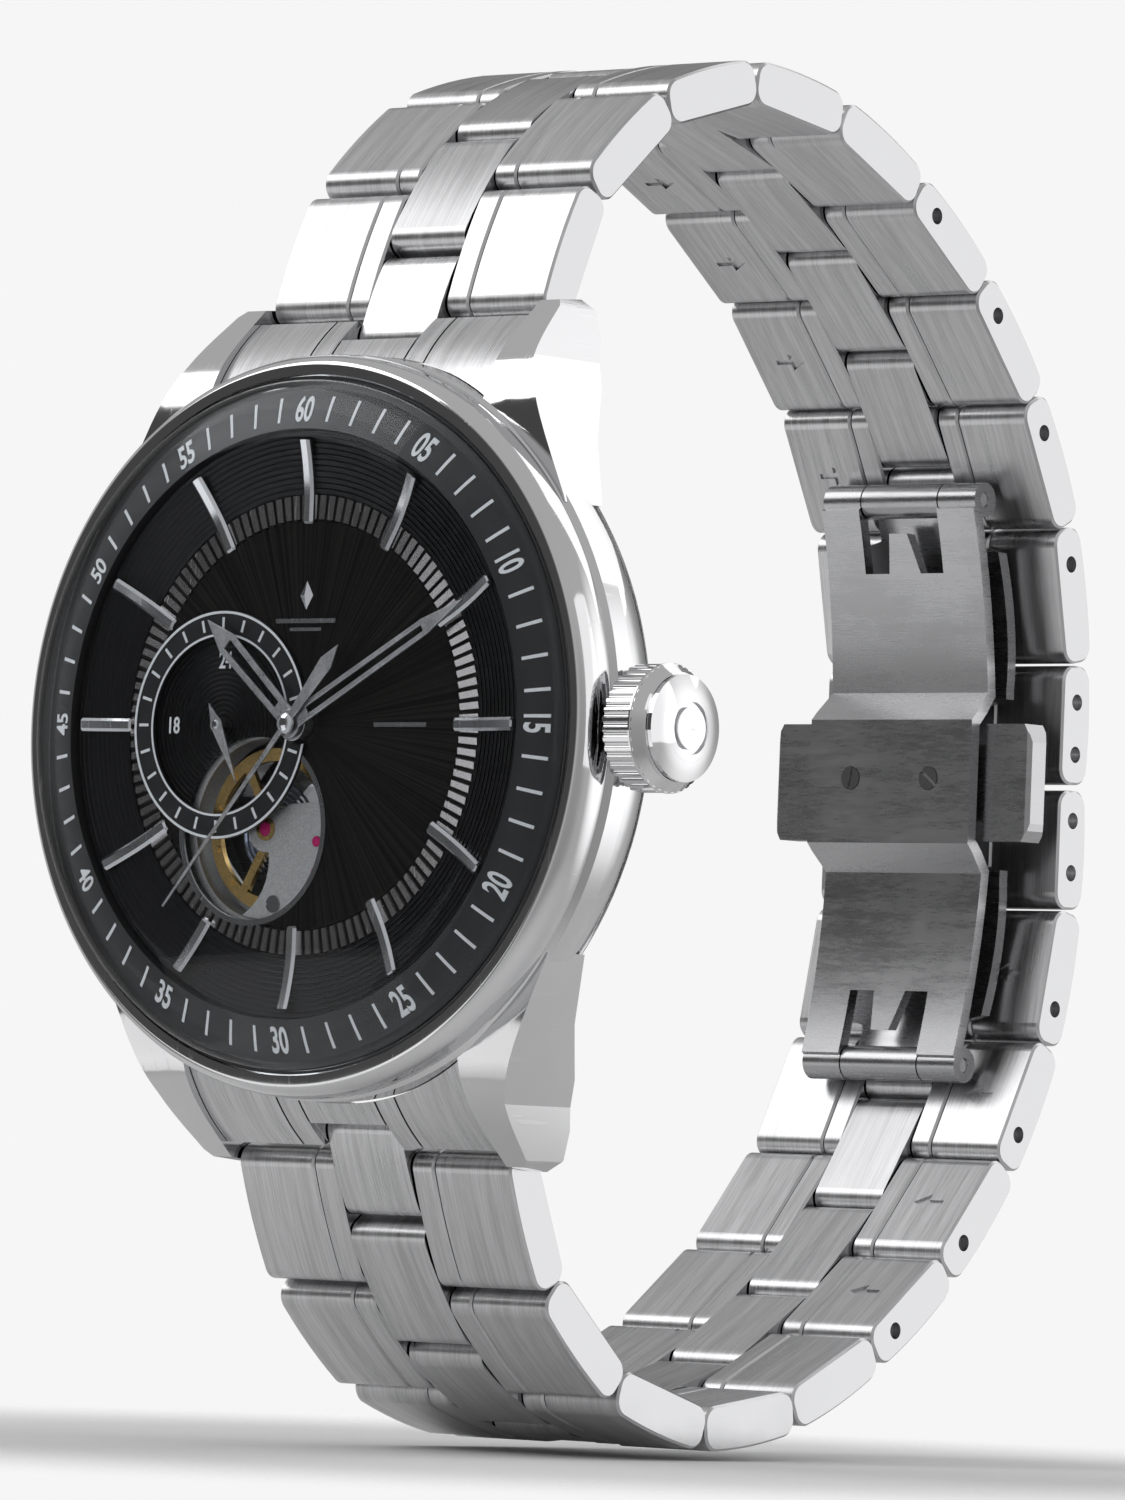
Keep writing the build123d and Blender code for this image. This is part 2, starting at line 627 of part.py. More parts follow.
export_step(rotor.part, "parts/rotor.step")

# Case back: screwed ring with six tool notches around a window
with BuildPart() as case_back:
    with BuildSketch(Plane.XY):
        outline([(GLASS_R - 0.7, -1.5), (GLASS_R - 0.7, -1.2), (GLASS_R + 0.03, -1.2),
                 (GLASS_R + 0.03, 0), (BACK_R - 0.3, 0), (BACK_R, -0.3), (BACK_R, -1.6),
                 (BACK_R - 1.0, -1.6), (BACK_R - 1.0, -1.5)])
    revolve(axis=Axis.Y)
    with BuildSketch(Plane.XZ.offset(-0.1)):
        with PolarLocations(BACK_R - 0.3, 6):
            Rectangle(1.6, 2.4)
    extrude(amount=0.6, mode=Mode.SUBTRACT)
case_back.part.label = "case_back"
export_step(case_back.part, "parts/case_back.step")

with BuildPart() as back_glass:
    with BuildSketch(Plane.XZ):
        Circle(GLASS_R)
    extrude(amount=1.18)
back_glass.part.label = "back_glass"
export_step(back_glass.part, "parts/back_glass.step")

# Crown with flutes and a domed cap, its tube, stem and sliding sleeve
with BuildPart() as crown:
    with BuildSketch(Plane.YZ.offset(CROWN_START_X)):
        with Locations((CROWN_Y, 0)):
            Circle(CROWN_R)
            with PolarLocations(CROWN_R + 0.07, CROWN_FLUTES):
                Circle(0.2, mode=Mode.SUBTRACT)
    extrude(amount=CROWN_BARREL)
    crown_axis = Axis((0, CROWN_Y, 0), (1, 0, 0))
    with BuildSketch(Plane.XY):
        with BuildLine():
            top = CROWN_START_X + CROWN_BARREL
            Polyline((top - 0.2, CROWN_Y), (top - 0.2, CROWN_Y + 3.75), (top - 0.1, CROWN_Y + 3.75),
                     (top + 0.5, CROWN_Y + 3.25), (top + 0.6, CROWN_Y + 3.1),
                     (top + 1.0, CROWN_Y + 3.1))
            middle = dome_middle(3.1, 0.6)
            ThreePointArc((top + 1.0, CROWN_Y + 3.1), (top + 1.6 - middle[1], CROWN_Y + middle[0]),
                          (top + 1.6, CROWN_Y))
            Line((top + 1.6, CROWN_Y), (top - 0.2, CROWN_Y))
        make_face()
    revolve(axis=crown_axis)
    with BuildSketch(Plane.XY):
        outline([(top + 0.62, CROWN_Y + 3.2), (top + 0.62, CROWN_Y + 2.98),
                 (top + 0.74, CROWN_Y + 2.98), (top + 0.74, CROWN_Y + 3.2)])
    revolve(axis=crown_axis, mode=Mode.SUBTRACT)
    with BuildSketch(Plane.YZ.offset(top + 1.3)):
        with Locations((CROWN_Y, 0)):
            Circle(1.55)
            Circle(1.25, mode=Mode.SUBTRACT)
    extrude(amount=0.6, mode=Mode.SUBTRACT)
    with BuildSketch(Plane.YZ.offset(CROWN_START_X - 0.1)):
        with Locations((CROWN_Y, 0)):
            Circle(1.75)
    extrude(amount=1.3, mode=Mode.SUBTRACT)
    with BuildSketch(Plane.YZ.offset(CROWN_START_X - 0.1)):
        with Locations((CROWN_Y, 0)):
            Circle(STEM_R + PIN_FIT)
    extrude(amount=1.9, mode=Mode.SUBTRACT)
crown.part.label = "crown"
export_step(crown.part, "parts/crown.step")

with BuildPart() as crown_tube:
    with BuildSketch(Plane.YZ.offset(19.2)):
        with Locations((CROWN_Y, 0)):
            Circle(1.58)
            Circle(STEM_R + RUN_FIT, mode=Mode.SUBTRACT)
    extrude(amount=4.2)
crown_tube.part.label = "crown_tube"
export_step(crown_tube.part, "parts/crown_tube.step")

with BuildPart() as stem:
    with BuildSketch(Plane.YZ.offset(13.15)):
        with Locations((CROWN_Y, 0)):
            Circle(STEM_R)
    extrude(amount=11.2)
stem.part.label = "stem"
export_step(stem.part, "parts/stem.step")

with BuildPart() as setting_sleeve:
    with BuildSketch(Plane.YZ.offset(13.4)):
        with Locations((CROWN_Y, 0)):
            Circle(1.3)
            Circle(STEM_R + RUN_FIT, mode=Mode.SUBTRACT)
    extrude(amount=0.9)
setting_sleeve.part.label = "setting_sleeve"
export_step(setting_sleeve.part, "parts/setting_sleeve.step")

# End links fill the space between the lugs; each carries the first centre link
first_half = row_width(0) * CENTRE_SHARE
groove_x = row_width(0) * STRIP_SHARE
near = side_plane(FIRST_PIVOT, ROW_ANGLES[0], 1)
with BuildPart() as end_links:
    edges = [-END_LINK_HALF, END_LINK_HALF]
    for groove in (-groove_x, -first_half - 0.12, first_half + 0.12, groove_x):
        edges += [groove - 0.07, groove + 0.07]
    edges.sort()
    for index, (start, end) in enumerate(zip(edges, edges[1:])):
        top = END_LINK_GROOVE if index % 2 else END_LINK_TOP
        with BuildSketch(Plane.YZ.offset(start)):
            with BuildLine():
                ThreePointArc(*top)
                Polyline(top[2], (1.1, 23.3), (0.6, 21.2), (-1.4, 17.9), top[0])
            make_face()
        extrude(amount=end - start)
    with BuildSketch(near):
        with Locations((-PIN_INSET - 0.22, 0)):
            Rectangle(6, 12, align=(Align.MIN, Align.CENTER))
    extrude(amount=15, both=True, mode=Mode.SUBTRACT)
    with BuildSketch(Plane.XZ):
        Circle(CASE_R + 0.05)
    extrude(amount=12, both=True, mode=Mode.SUBTRACT)
    with BuildSketch(near):
        with Locations((-SPRING_BAR_BACK - 1.55, 0)):
            Rectangle(8, 12, align=(Align.MIN, Align.CENTER))
    extrude(amount=first_half + SIDE_GAP, both=True, mode=Mode.SUBTRACT)
    with BuildSketch(near):
        add(link_profile(-SPRING_BAR_BACK - 1.4, LINK_REACH))
    extrude(amount=first_half, both=True)
    with BuildSketch(near):
        Circle(PIN_R + RUN_FIT)
        with Locations((-SPRING_BAR_BACK, 0)):
            Circle(SPRING_BAR_R + PIN_FIT)
    extrude(amount=END_LINK_HALF + 1, both=True, mode=Mode.SUBTRACT)
    mirror(about=Plane.XY)
end_links.part.label = "end_links"
export_step(end_links.part, "parts/end_links.step")

with BuildPart() as spring_bars:
    for side in HALVES.values():
        with BuildSketch(Plane.YZ):
            with Locations((spring_bar[0], side * spring_bar[1])):
                Circle(SPRING_BAR_R)
        extrude(amount=END_LINK_HALF + 0.8, both=True)
spring_bars.part.label = "spring_bars"
export_step(spring_bars.part, "parts/spring_bars.step")

# Bracelet: every row is two blocks and two strips with the next centre link pinned on
for half, side in HALVES.items():
    for row in range(ROWS):
        width = row_width(row)
        centre_half = width * CENTRE_SHARE
        strip_out = width * STRIP_SHARE
        last = row == ROWS - 1
        far_pin = LAST_SPAN - WING_PIN_FROM_END if last else PIN_SPAN
        far_end = LAST_SPAN if last else PIN_SPAN + PIN_INSET
        plane = side_plane(pivots[row], ROW_ANGLES[row], side)
        spans = ((centre_half + SIDE_GAP, strip_out), (strip_out + GROOVE_GAP, width / 2))
        open_pin = row >= OPEN_PIN_ROWS
        with BuildPart() as link:
            for inner, outer in spans:
                for start in (inner, -outer):
                    with BuildSketch(plane.offset(start)):
                        add(link_profile(-PIN_INSET, far_end))
                    extrude(amount=outer - inner)
            chamfer(link.faces().filter_by(Axis.X).edges(), EDGE)
            # removable pins are open at the crown side, the others are closed at both sides
            hole_start = -width / 2 - 1 if open_pin and side < 0 else -width / 2 + 0.6
            hole_end = width / 2 + 1 if open_pin and side > 0 else width / 2 - 0.6
            with BuildSketch(plane.offset(hole_start)):
                Circle(PIN_R + PIN_FIT)
                if last:
                    with Locations((far_pin, 0)):
                        Circle(PIN_R + PIN_FIT)
            extrude(amount=hole_end - hole_start, mode=Mode.SUBTRACT)
            if not last:
                with BuildSketch(plane):
                    with Locations((far_pin, 0)):
                        Circle(PIN_R + PIN_FIT)
                extrude(amount=width / 2 - 1.2, both=True, mode=Mode.SUBTRACT)
            if row + 1 in ARROW_ROWS[half]:
                block_mid = -(strip_out + width / 2) / 2
                with BuildSketch(Plane(origin=plane.from_local_coords(Vector(2.0, -HALF_T, block_mid)),
                                       x_dir=plane.z_dir, z_dir=-plane.y_dir)):
                    Rectangle(1.6, 0.35)
                    with Locations((0.7, 0)):
                        RegularPolygon(0.75, 3)
                extrude(amount=-0.15, mode=Mode.SUBTRACT)
            pin_half = width / 2 - (0.75 if last else 1.25)
            with BuildSketch(plane):
                Circle(PIN_R)
                with Locations((far_pin, 0)):
                    Circle(PIN_R)
            extrude(amount=pin_half, both=True)
            if not last:
                centre_plane = side_plane(fixed_pins[row], link_angles[row], side)
                with BuildSketch(centre_plane):
                    add(link_profile(-LINK_REACH, LINK_SPAN + LINK_REACH))
                    Circle(PIN_R + PIN_FIT, mode=Mode.SUBTRACT)
                    with Locations((LINK_SPAN, 0)):
                        Circle(PIN_R + RUN_FIT, mode=Mode.SUBTRACT)
                extrude(amount=centre_half, both=True)
        node = f"{half}_link_{row + 1:02d}"
        link.part.label = node
        export_step(link.part, f"parts/{node}.step")

# Clasp base plate: two curved flanges, a raised box in the middle, hinge knuckles at both ends
WING_HALF = row_width(ROWS - 1) * CENTRE_SHARE - 0.15
KNUCKLE_HALF = 3.0
PLATE_HALF = 6.0
BOX_HALF = 6.4
hinge_y, hinge_z = CLASP_PIVOT
with BuildPart() as clasp_plate:
    with BuildSketch(Plane.YZ):
        with BuildLine():
            Polyline((47.5, 0), (47.5, 3.9), (49.3, 5.7))
            Spline((49.3, 5.7), (48.7, 11.0), (47.3, 17.2))
            Polyline((47.3, 17.2), (48.0, 17.8))
            Spline((48.0, 17.8), (49.45, 11.2), (50.1, 5.5))
            Polyline((50.1, 5.5), (48.3, 3.6), (48.3, 0), (47.5, 0))
        make_face()
    extrude(amount=BOX_HALF, both=True)
    with BuildSketch(Plane.YZ):
        with Locations(CLASP_PIVOT):
            Circle(KNUCKLE_R)
    extrude(amount=BOX_HALF, both=True)
    with BuildSketch(Plane.XZ):
        outline([(-BOX_HALF, 0), (BOX_HALF, 0), (BOX_HALF, 4.4), (PLATE_HALF + 0.2, 5.6),
                 (PLATE_HALF, 20.0), (-PLATE_HALF, 20.0), (-PLATE_HALF - 0.2, 5.6), (-BOX_HALF, 4.4)])
    extrude(amount=60, both=True, mode=Mode.INTERSECT)
    with BuildSketch(Plane.XZ):
        outline([(-KNUCKLE_HALF - 0.1, 20.0), (KNUCKLE_HALF + 0.1, 20.0), (KNUCKLE_HALF + 0.1, 13.2),
                 (1.3, 13.2), (0.5, 15.7), (-0.9, 15.7), (-1.2, 13.2), (-KNUCKLE_HALF - 0.1, 13.2)])
    extrude(amount=-60, mode=Mode.SUBTRACT)
    with BuildSketch(Plane.YZ):
        with Locations(CLASP_PIVOT):
            Circle(HINGE_R + PIN_FIT)
    extrude(amount=BOX_HALF, both=True, mode=Mode.SUBTRACT)
    mirror(about=Plane.XY)
    for x in (-3.1, 3.1):
        with BuildSketch(Plane.XZ.offset(-48.6)):
            with Locations((x, 0.2)):
                Circle(0.75)
        extrude(amount=1.5, mode=Mode.SUBTRACT)
clasp_plate.part.label = "clasp_plate"
export_step(clasp_plate.part, "parts/clasp_plate.step")

# Catch block behind the box
with BuildPart() as clasp_catch:
    with BuildSketch(Plane.XZ.offset(-50.5)):
        Rectangle(7.6, 6.8)
    extrude(amount=2.18)
    for x in (-3.1, 3.1):
        with BuildSketch(Plane.XZ.offset(-50.6)):
            with Locations((x, 0.2)):
                Circle(0.42)
        extrude(amount=3.0, mode=Mode.SUBTRACT)
clasp_catch.part.label = "clasp_catch"
export_step(clasp_catch.part, "parts/clasp_catch.step")

# Two screws, the hinge pin of the upper wing, and two stubs for the wing that swings free
stub_length = PLATE_HALF - KNUCKLE_HALF - 0.4
with BuildPart() as clasp_fasteners:
    for x, turn in ((-3.1, 78), (3.1, -40)):
        with BuildSketch(Plane.XZ.offset(-48.28)):
            with Locations((x, 0.2)):
                Circle(0.72)
        extrude(amount=0.82)
        with BuildSketch(Plane.XZ.offset(-50.3)):
            with Locations((x, 0.2)):
                Circle(0.4)
        extrude(amount=2.1)
        with BuildSketch(Plane.XZ.offset(-47.75)):
            with Locations(Location((x, 0.2), turn)):
                Rectangle(1.7, 0.22)
        extrude(amount=0.4, mode=Mode.SUBTRACT)
    with BuildSketch(Plane.YZ):
        with Locations(CLASP_PIVOT):
            Circle(HINGE_R)
    extrude(amount=PLATE_HALF - 0.1, both=True)
    for start in (KNUCKLE_HALF + 0.3, 0.1 - PLATE_HALF):
        with BuildSketch(Plane.YZ.offset(start)):
            with Locations((hinge_y, -hinge_z)):
                Circle(HINGE_R)
        extrude(amount=stub_length)
clasp_fasteners.part.label = "clasp_fasteners"
export_step(clasp_fasteners.part, "parts/clasp_fasteners.step")

# Folding wings between the base plate and the last rows
for half, side in HALVES.items():
    with BuildPart() as wing:
        with BuildSketch(Plane.YZ):
            with BuildLine():
                Spline((49.0, side * 17.2), (50.1, side * 14.2), (50.9, side * 11.0), (51.1, side * 6.0))
                Polyline((51.1, side * 6.0), (51.1, side * 0.7), (51.9, side * 0.7),
                         (51.9, side * 6.0))
                Spline((51.9, side * 6.0), (51.7, side * 11.2), (50.8, side * 14.7),
                       (49.5, side * 17.9))
                Line((49.5, side * 17.9), (49.0, side * 17.2))
            make_face()
        extrude(amount=PLATE_HALF + 0.3, both=True)
        with BuildSketch(Plane.XZ):
            outline([(x, side * z) for x, z in (
                (-WING_HALF, 0), (WING_HALF, 0), (WING_HALF, 4.6), (PLATE_HALF + 0.3, 5.4),
                (PLATE_HALF + 0.1, 14.6), (KNUCKLE_HALF, 15.4), (KNUCKLE_HALF, 20.0),
                (-KNUCKLE_HALF, 20.0), (-KNUCKLE_HALF, 15.4), (-PLATE_HALF - 0.1, 14.6),
                (-PLATE_HALF - 0.3, 5.4), (-WING_HALF, 4.6))])
        extrude(amount=60, both=True, mode=Mode.INTERSECT)
        with BuildSketch(Plane.YZ):
            with Locations((hinge_y, side * hinge_z)):
                Circle(KNUCKLE_R)
        extrude(amount=KNUCKLE_HALF, both=True)
        with BuildSketch(Plane.YZ):
            with Locations((wing_pin[0], side * wing_pin[1])):
                Circle(WING_KNUCKLE_R)
            Polygon((51.4, side * 1.0), (wing_pin[0], side * (wing_pin[1] - WING_KNUCKLE_R)),
                    (wing_pin[0], side * (wing_pin[1] + WING_KNUCKLE_R)), (51.4, side * 3.2),
                    align=None)
        extrude(amount=WING_HALF, both=True)
        with BuildSketch(Plane.YZ):
            with Locations((wing_pin[0], side * wing_pin[1])):
                Circle(PIN_R + RUN_FIT)
            with Locations((hinge_y, side * hinge_z)):
                Circle(HINGE_R + RUN_FIT)
        extrude(amount=PLATE_HALF + 1, both=True, mode=Mode.SUBTRACT)
    wing.part.label = f"wing_{half}"
    export_step(wing.part, f"parts/wing_{half}.step")

# Push buttons with faceted outer ends, one on each side of the box
for name, sign in (("button_left", -1), ("button_right", 1)):
    with BuildPart() as button:
        with BuildSketch(Plane.XZ.offset(-BUTTON_Y[1])):
            outline([(sign * x, z) for x, z in (
                (BUTTON_X[0], -2.4), (6.6, -2.4), (6.6, -BUTTON_HALF_Z),
                (BUTTON_X[1] - 0.5, -BUTTON_HALF_Z), (BUTTON_X[1], -BUTTON_HALF_Z + 0.9),
                (BUTTON_X[1], BUTTON_HALF_Z - 0.9), (BUTTON_X[1] - 0.5, BUTTON_HALF_Z),
                (6.6, BUTTON_HALF_Z), (6.6, 2.4), (BUTTON_X[0], 2.4))])
        extrude(amount=BUTTON_Y[1] - BUTTON_Y[0])
        chamfer(button.faces().sort_by(Axis.X)[-1 if sign > 0 else 0].edges(), 0.25)
    button.part.label = name
    export_step(button.part, f"parts/{name}.step")
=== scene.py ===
"""Looks of a three-hand automatic wristwatch on a closed steel bracelet.

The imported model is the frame: the dial faces -Y, the crown points to +X and twelve o'clock to +Z.
Shapes are worked out in millimetres and put into meshes in metres.
"""
import logging
import math
from dataclasses import dataclass
from enum import Enum
from typing import Callable, ClassVar, Iterable, Sequence

import bmesh
import bpy
import numpy as np
from mathutils import Matrix, Vector


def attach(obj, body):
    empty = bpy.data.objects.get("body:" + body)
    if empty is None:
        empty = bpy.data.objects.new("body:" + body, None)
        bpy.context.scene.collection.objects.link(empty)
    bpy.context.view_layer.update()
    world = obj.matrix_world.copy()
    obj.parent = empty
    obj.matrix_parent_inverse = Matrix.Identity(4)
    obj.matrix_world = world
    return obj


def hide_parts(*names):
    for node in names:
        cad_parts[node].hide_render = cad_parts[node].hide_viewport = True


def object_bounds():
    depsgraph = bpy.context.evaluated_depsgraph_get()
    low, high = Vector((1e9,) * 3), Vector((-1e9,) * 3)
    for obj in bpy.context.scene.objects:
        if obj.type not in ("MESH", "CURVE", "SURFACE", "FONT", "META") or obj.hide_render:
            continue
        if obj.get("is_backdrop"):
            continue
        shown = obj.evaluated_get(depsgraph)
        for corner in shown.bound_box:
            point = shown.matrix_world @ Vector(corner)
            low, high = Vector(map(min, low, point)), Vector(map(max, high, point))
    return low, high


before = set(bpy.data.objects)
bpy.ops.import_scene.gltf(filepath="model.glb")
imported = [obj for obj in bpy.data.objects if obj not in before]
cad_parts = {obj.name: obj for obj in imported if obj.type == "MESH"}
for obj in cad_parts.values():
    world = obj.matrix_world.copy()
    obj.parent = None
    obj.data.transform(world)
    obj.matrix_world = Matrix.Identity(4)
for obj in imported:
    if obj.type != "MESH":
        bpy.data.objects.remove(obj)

MM = 0.001
LOG = logging.getLogger("wristwatch")

Vec3 = tuple[float, float, float]

# Smallest gap in metres that keeps two vertices apart, angles in degrees of edges that stay sharp
SEAM = 2e-7
COPY_SEAM = 1e-6
SHARP_EDGE = 32.0
FLAT_ANGLE = 0.5
SOFTENED_ANGLE = 40.0

# Mapping scale that turns object coordinates into millimetres
IN_MM: Vec3 = (1000.0, 1000.0, 1000.0)
AS_IS: Vec3 = (1.0, 1.0, 1.0)


class Slot(Enum):
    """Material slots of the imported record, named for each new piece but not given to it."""

    BRUSHED = "brushed"
    POLISHED = "polished"
    GLASS = "glass"
    DIAL = "dial_black"
    PRINT = "print_white"


class Facing(Enum):
    """Which way the top of a dial number points."""

    OUTWARD = 1
    INWARD = -1


# ---------------------------------------------------------------- surfaces


@dataclass(frozen=True)
class Surface:
    """Points in millimetres with the faces between them."""

    points: np.ndarray
    faces: tuple[np.ndarray, ...]

    def __add__(self, other: "Surface") -> "Surface":
        """Both surfaces as one."""
        moved = tuple(group + len(self.points) for group in other.faces)
        return Surface(np.vstack([self.points, other.points]), self.faces + moved)


@dataclass(frozen=True)
class Place:
    """Origin and three axes that a local point (a, b, h) is measured along."""

    origin: Vec3 = (0.0, 0.0, 0.0)
    a_axis: Vec3 = (0.0, 0.0, 1.0)
    b_axis: Vec3 = (1.0, 0.0, 0.0)
    h_axis: Vec3 = (0.0, 1.0, 0.0)

    def at(self, a: np.ndarray, b: np.ndarray, h: np.ndarray) -> np.ndarray:
        """Points at origin + a, b and h times their axes.

        Args:
            a: Distances along the first axis in millimetres.
            b: Distances along the second axis.
            h: Distances along the third axis.

        Returns:
            The points, with their coordinates last.
        """
        a, b, h = np.broadcast_arrays(a, b, h)
        axes = np.array([self.a_axis, self.b_axis, self.h_axis])
        return np.array(self.origin) + np.stack([a, b, h], axis=-1) @ axes


DIAL_PLACE = Place()


def loft(rings: np.ndarray, capped: bool = True, closed_path: bool = False) -> Surface:
    """Skin over a row of closed rings of points.

    Each quad joins points j and j + 1 of ring i to the same points of ring i + 1.

    Args:
        rings: Array of rings, points and coordinates.
        capped: Close the first and last ring with a face.
        closed_path: Join the last ring to the first.

    Returns:
        The skin.
    """
    rows, columns, _ = rings.shape
    i, j = np.meshgrid(np.arange(rows if closed_path else rows - 1), np.arange(columns), indexing="ij")
    here, there = i * columns, ((i + 1) % rows) * columns
    side = (j + 1) % columns
    quads = np.stack([here + j, here + side, there + side, there + j], axis=-1).reshape(-1, 4)
    groups = [quads]
    if capped and not closed_path:
        ring = np.arange(columns)
        groups.append(np.stack([ring[::-1], ring + (rows - 1) * columns]))
    return Surface(rings.reshape(-1, 3), tuple(groups))


def turned(profile: Sequence[tuple[float, float]], segments: int, place: Place = DIAL_PLACE) -> Surface:
    """Profile turned about the h axis: (r cos t, r sin t, h) for t over a full circle.

    Args:
        profile: Radius and height of each point, the first repeated at the end or both ends on the axis.
        segments: Steps round the circle.
        place: Axes that the surface is measured along.

    Returns:
        The turned surface.
    """
    radius, height = np.array(profile, float).T
    turn = np.linspace(0, 2 * np.pi, segments, endpoint=False)
    points = place.at(radius[:, None] * np.cos(turn), radius[:, None] * np.sin(turn), height[:, None])
    return loft(points, capped=False)


def slab(outline: np.ndarray, low: float, high: float, place: Place = DIAL_PLACE) -> Surface:
    """Flat outline of (b, a) points carried straight from one height to another."""
    b, a = np.asarray(outline, float).T
    return loft(np.stack([place.at(a, b, np.full(len(a), h)) for h in (low, high)]))


def lettering(text: str, height: float, squeeze: float, weight: float) -> Surface:
    """Number as a thin solid centred on its own (a right, b up, h thick) axes.

    Args:
        text: Characters to set.
        height: Height of a digit.
        squeeze: Width of the digits against the font's own.
        weight: How far the strokes are fattened, against the height.

    Returns:
        The number's surface with points (right, up, thick).
    """
    curve = bpy.data.curves.new("number", "FONT")
    curve.body = text
    curve.align_x = "CENTER"
    curve.extrude = 0.01
    curve.offset = weight
    curve.resolution_u = 4
    holder = bpy.data.objects.new("number", curve)
    bpy.context.scene.collection.objects.link(holder)
    bpy.context.view_layer.update()
    mesh = bpy.data.meshes.new_from_object(holder.evaluated_get(bpy.context.evaluated_depsgraph_get()))
    points = np.empty(len(mesh.vertices) * 3)
    mesh.vertices.foreach_get("co", points)
    points = points.reshape(-1, 3)
    groups: dict[int, list[list[int]]] = {}
    for polygon in mesh.polygons:
        groups.setdefault(len(polygon.vertices), []).append(list(polygon.vertices))
    bpy.data.objects.remove(holder)
    bpy.data.curves.remove(curve)
    bpy.data.meshes.remove(mesh)
    low, high = points.min(0), points.max(0)
    points -= (low + high) / 2
    scale = height / (high[1] - low[1])
    points *= (scale * squeeze, scale, scale)
    return Surface(points, tuple(np.array(group) for group in groups.values()))


def add_piece(name: str, surface: Surface, finish: "Finish", body: str, slot: Slot,
              stands_for: Iterable[str] = (), crease: float = SHARP_EDGE) -> bpy.types.Object:
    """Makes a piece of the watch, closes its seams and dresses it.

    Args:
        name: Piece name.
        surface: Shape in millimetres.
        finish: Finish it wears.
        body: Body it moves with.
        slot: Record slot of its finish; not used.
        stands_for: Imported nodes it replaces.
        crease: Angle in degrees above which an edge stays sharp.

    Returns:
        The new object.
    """
    mesh = bpy.data.meshes.new(name)
    faces = [face for group in surface.faces for face in group.tolist()]
    mesh.from_pydata((surface.points * MM).tolist(), [], faces)
    work = bmesh.new()
    work.from_mesh(mesh)
    bmesh.ops.remove_doubles(work, verts=work.verts, dist=SEAM)
    bmesh.ops.dissolve_degenerate(work, dist=1e-8, edges=work.edges)
    bmesh.ops.recalc_face_normals(work, faces=work.faces)
    work.to_mesh(mesh)
    work.free()
    return settle(name, mesh, finish, body, slot, stands_for, crease)


def settle(name: str, mesh: bpy.types.Mesh, finish: "Finish", body: str, slot: Slot,
           stands_for: Iterable[str], crease: float) -> bpy.types.Object:
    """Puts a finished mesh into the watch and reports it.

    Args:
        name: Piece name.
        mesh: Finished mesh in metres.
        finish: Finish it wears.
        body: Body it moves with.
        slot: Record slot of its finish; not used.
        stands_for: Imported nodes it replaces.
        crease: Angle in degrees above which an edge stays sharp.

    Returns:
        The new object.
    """
    mesh.shade_smooth()
    mesh.set_sharp_from_angle(angle=math.radians(crease))
    mesh.materials.clear()
    mesh.materials.append(finish.material())
    piece = bpy.data.objects.new(name, mesh)
    bpy.context.scene.collection.objects.link(piece)
    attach(piece, body)
    nodes = tuple(stands_for)
    if nodes:
        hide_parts(*nodes)
    LOG.info("%s: %d faces, %s, on %s", name, len(mesh.polygons), finish.name, body)
    return piece


def softened_copy(node: str, name: str, finish: "Finish", body: str, slot: Slot,
                  edge: float) -> bpy.types.Object:
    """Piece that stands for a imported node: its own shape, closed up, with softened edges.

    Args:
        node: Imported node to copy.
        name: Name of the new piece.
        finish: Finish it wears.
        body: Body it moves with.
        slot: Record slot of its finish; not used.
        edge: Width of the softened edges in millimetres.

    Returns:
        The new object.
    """
    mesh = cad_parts[node].data.copy()
    mesh.name = name
    if mesh.attributes.get("custom_normal"):
        mesh.attributes.remove(mesh.attributes["custom_normal"])
    work = bmesh.new()
    work.from_mesh(mesh)
    bmesh.ops.remove_doubles(work, verts=work.verts, dist=COPY_SEAM)
    bmesh.ops.dissolve_limit(work, angle_limit=math.radians(FLAT_ANGLE), verts=work.verts, edges=work.edges,
                             delimit={"NORMAL"})
    work.to_mesh(mesh)
    work.free()
    piece = settle(name, mesh, finish, body, slot, (node,), SHARP_EDGE)
    bevel = piece.modifiers.new("soft_edges", "BEVEL")
    bevel.width = edge * MM
    bevel.segments = 2
    bevel.limit_method = "ANGLE"
    bevel.angle_limit = math.radians(SOFTENED_ANGLE)
    bevel.harden_normals = True
    return piece


# ---------------------------------------------------------------- finishes


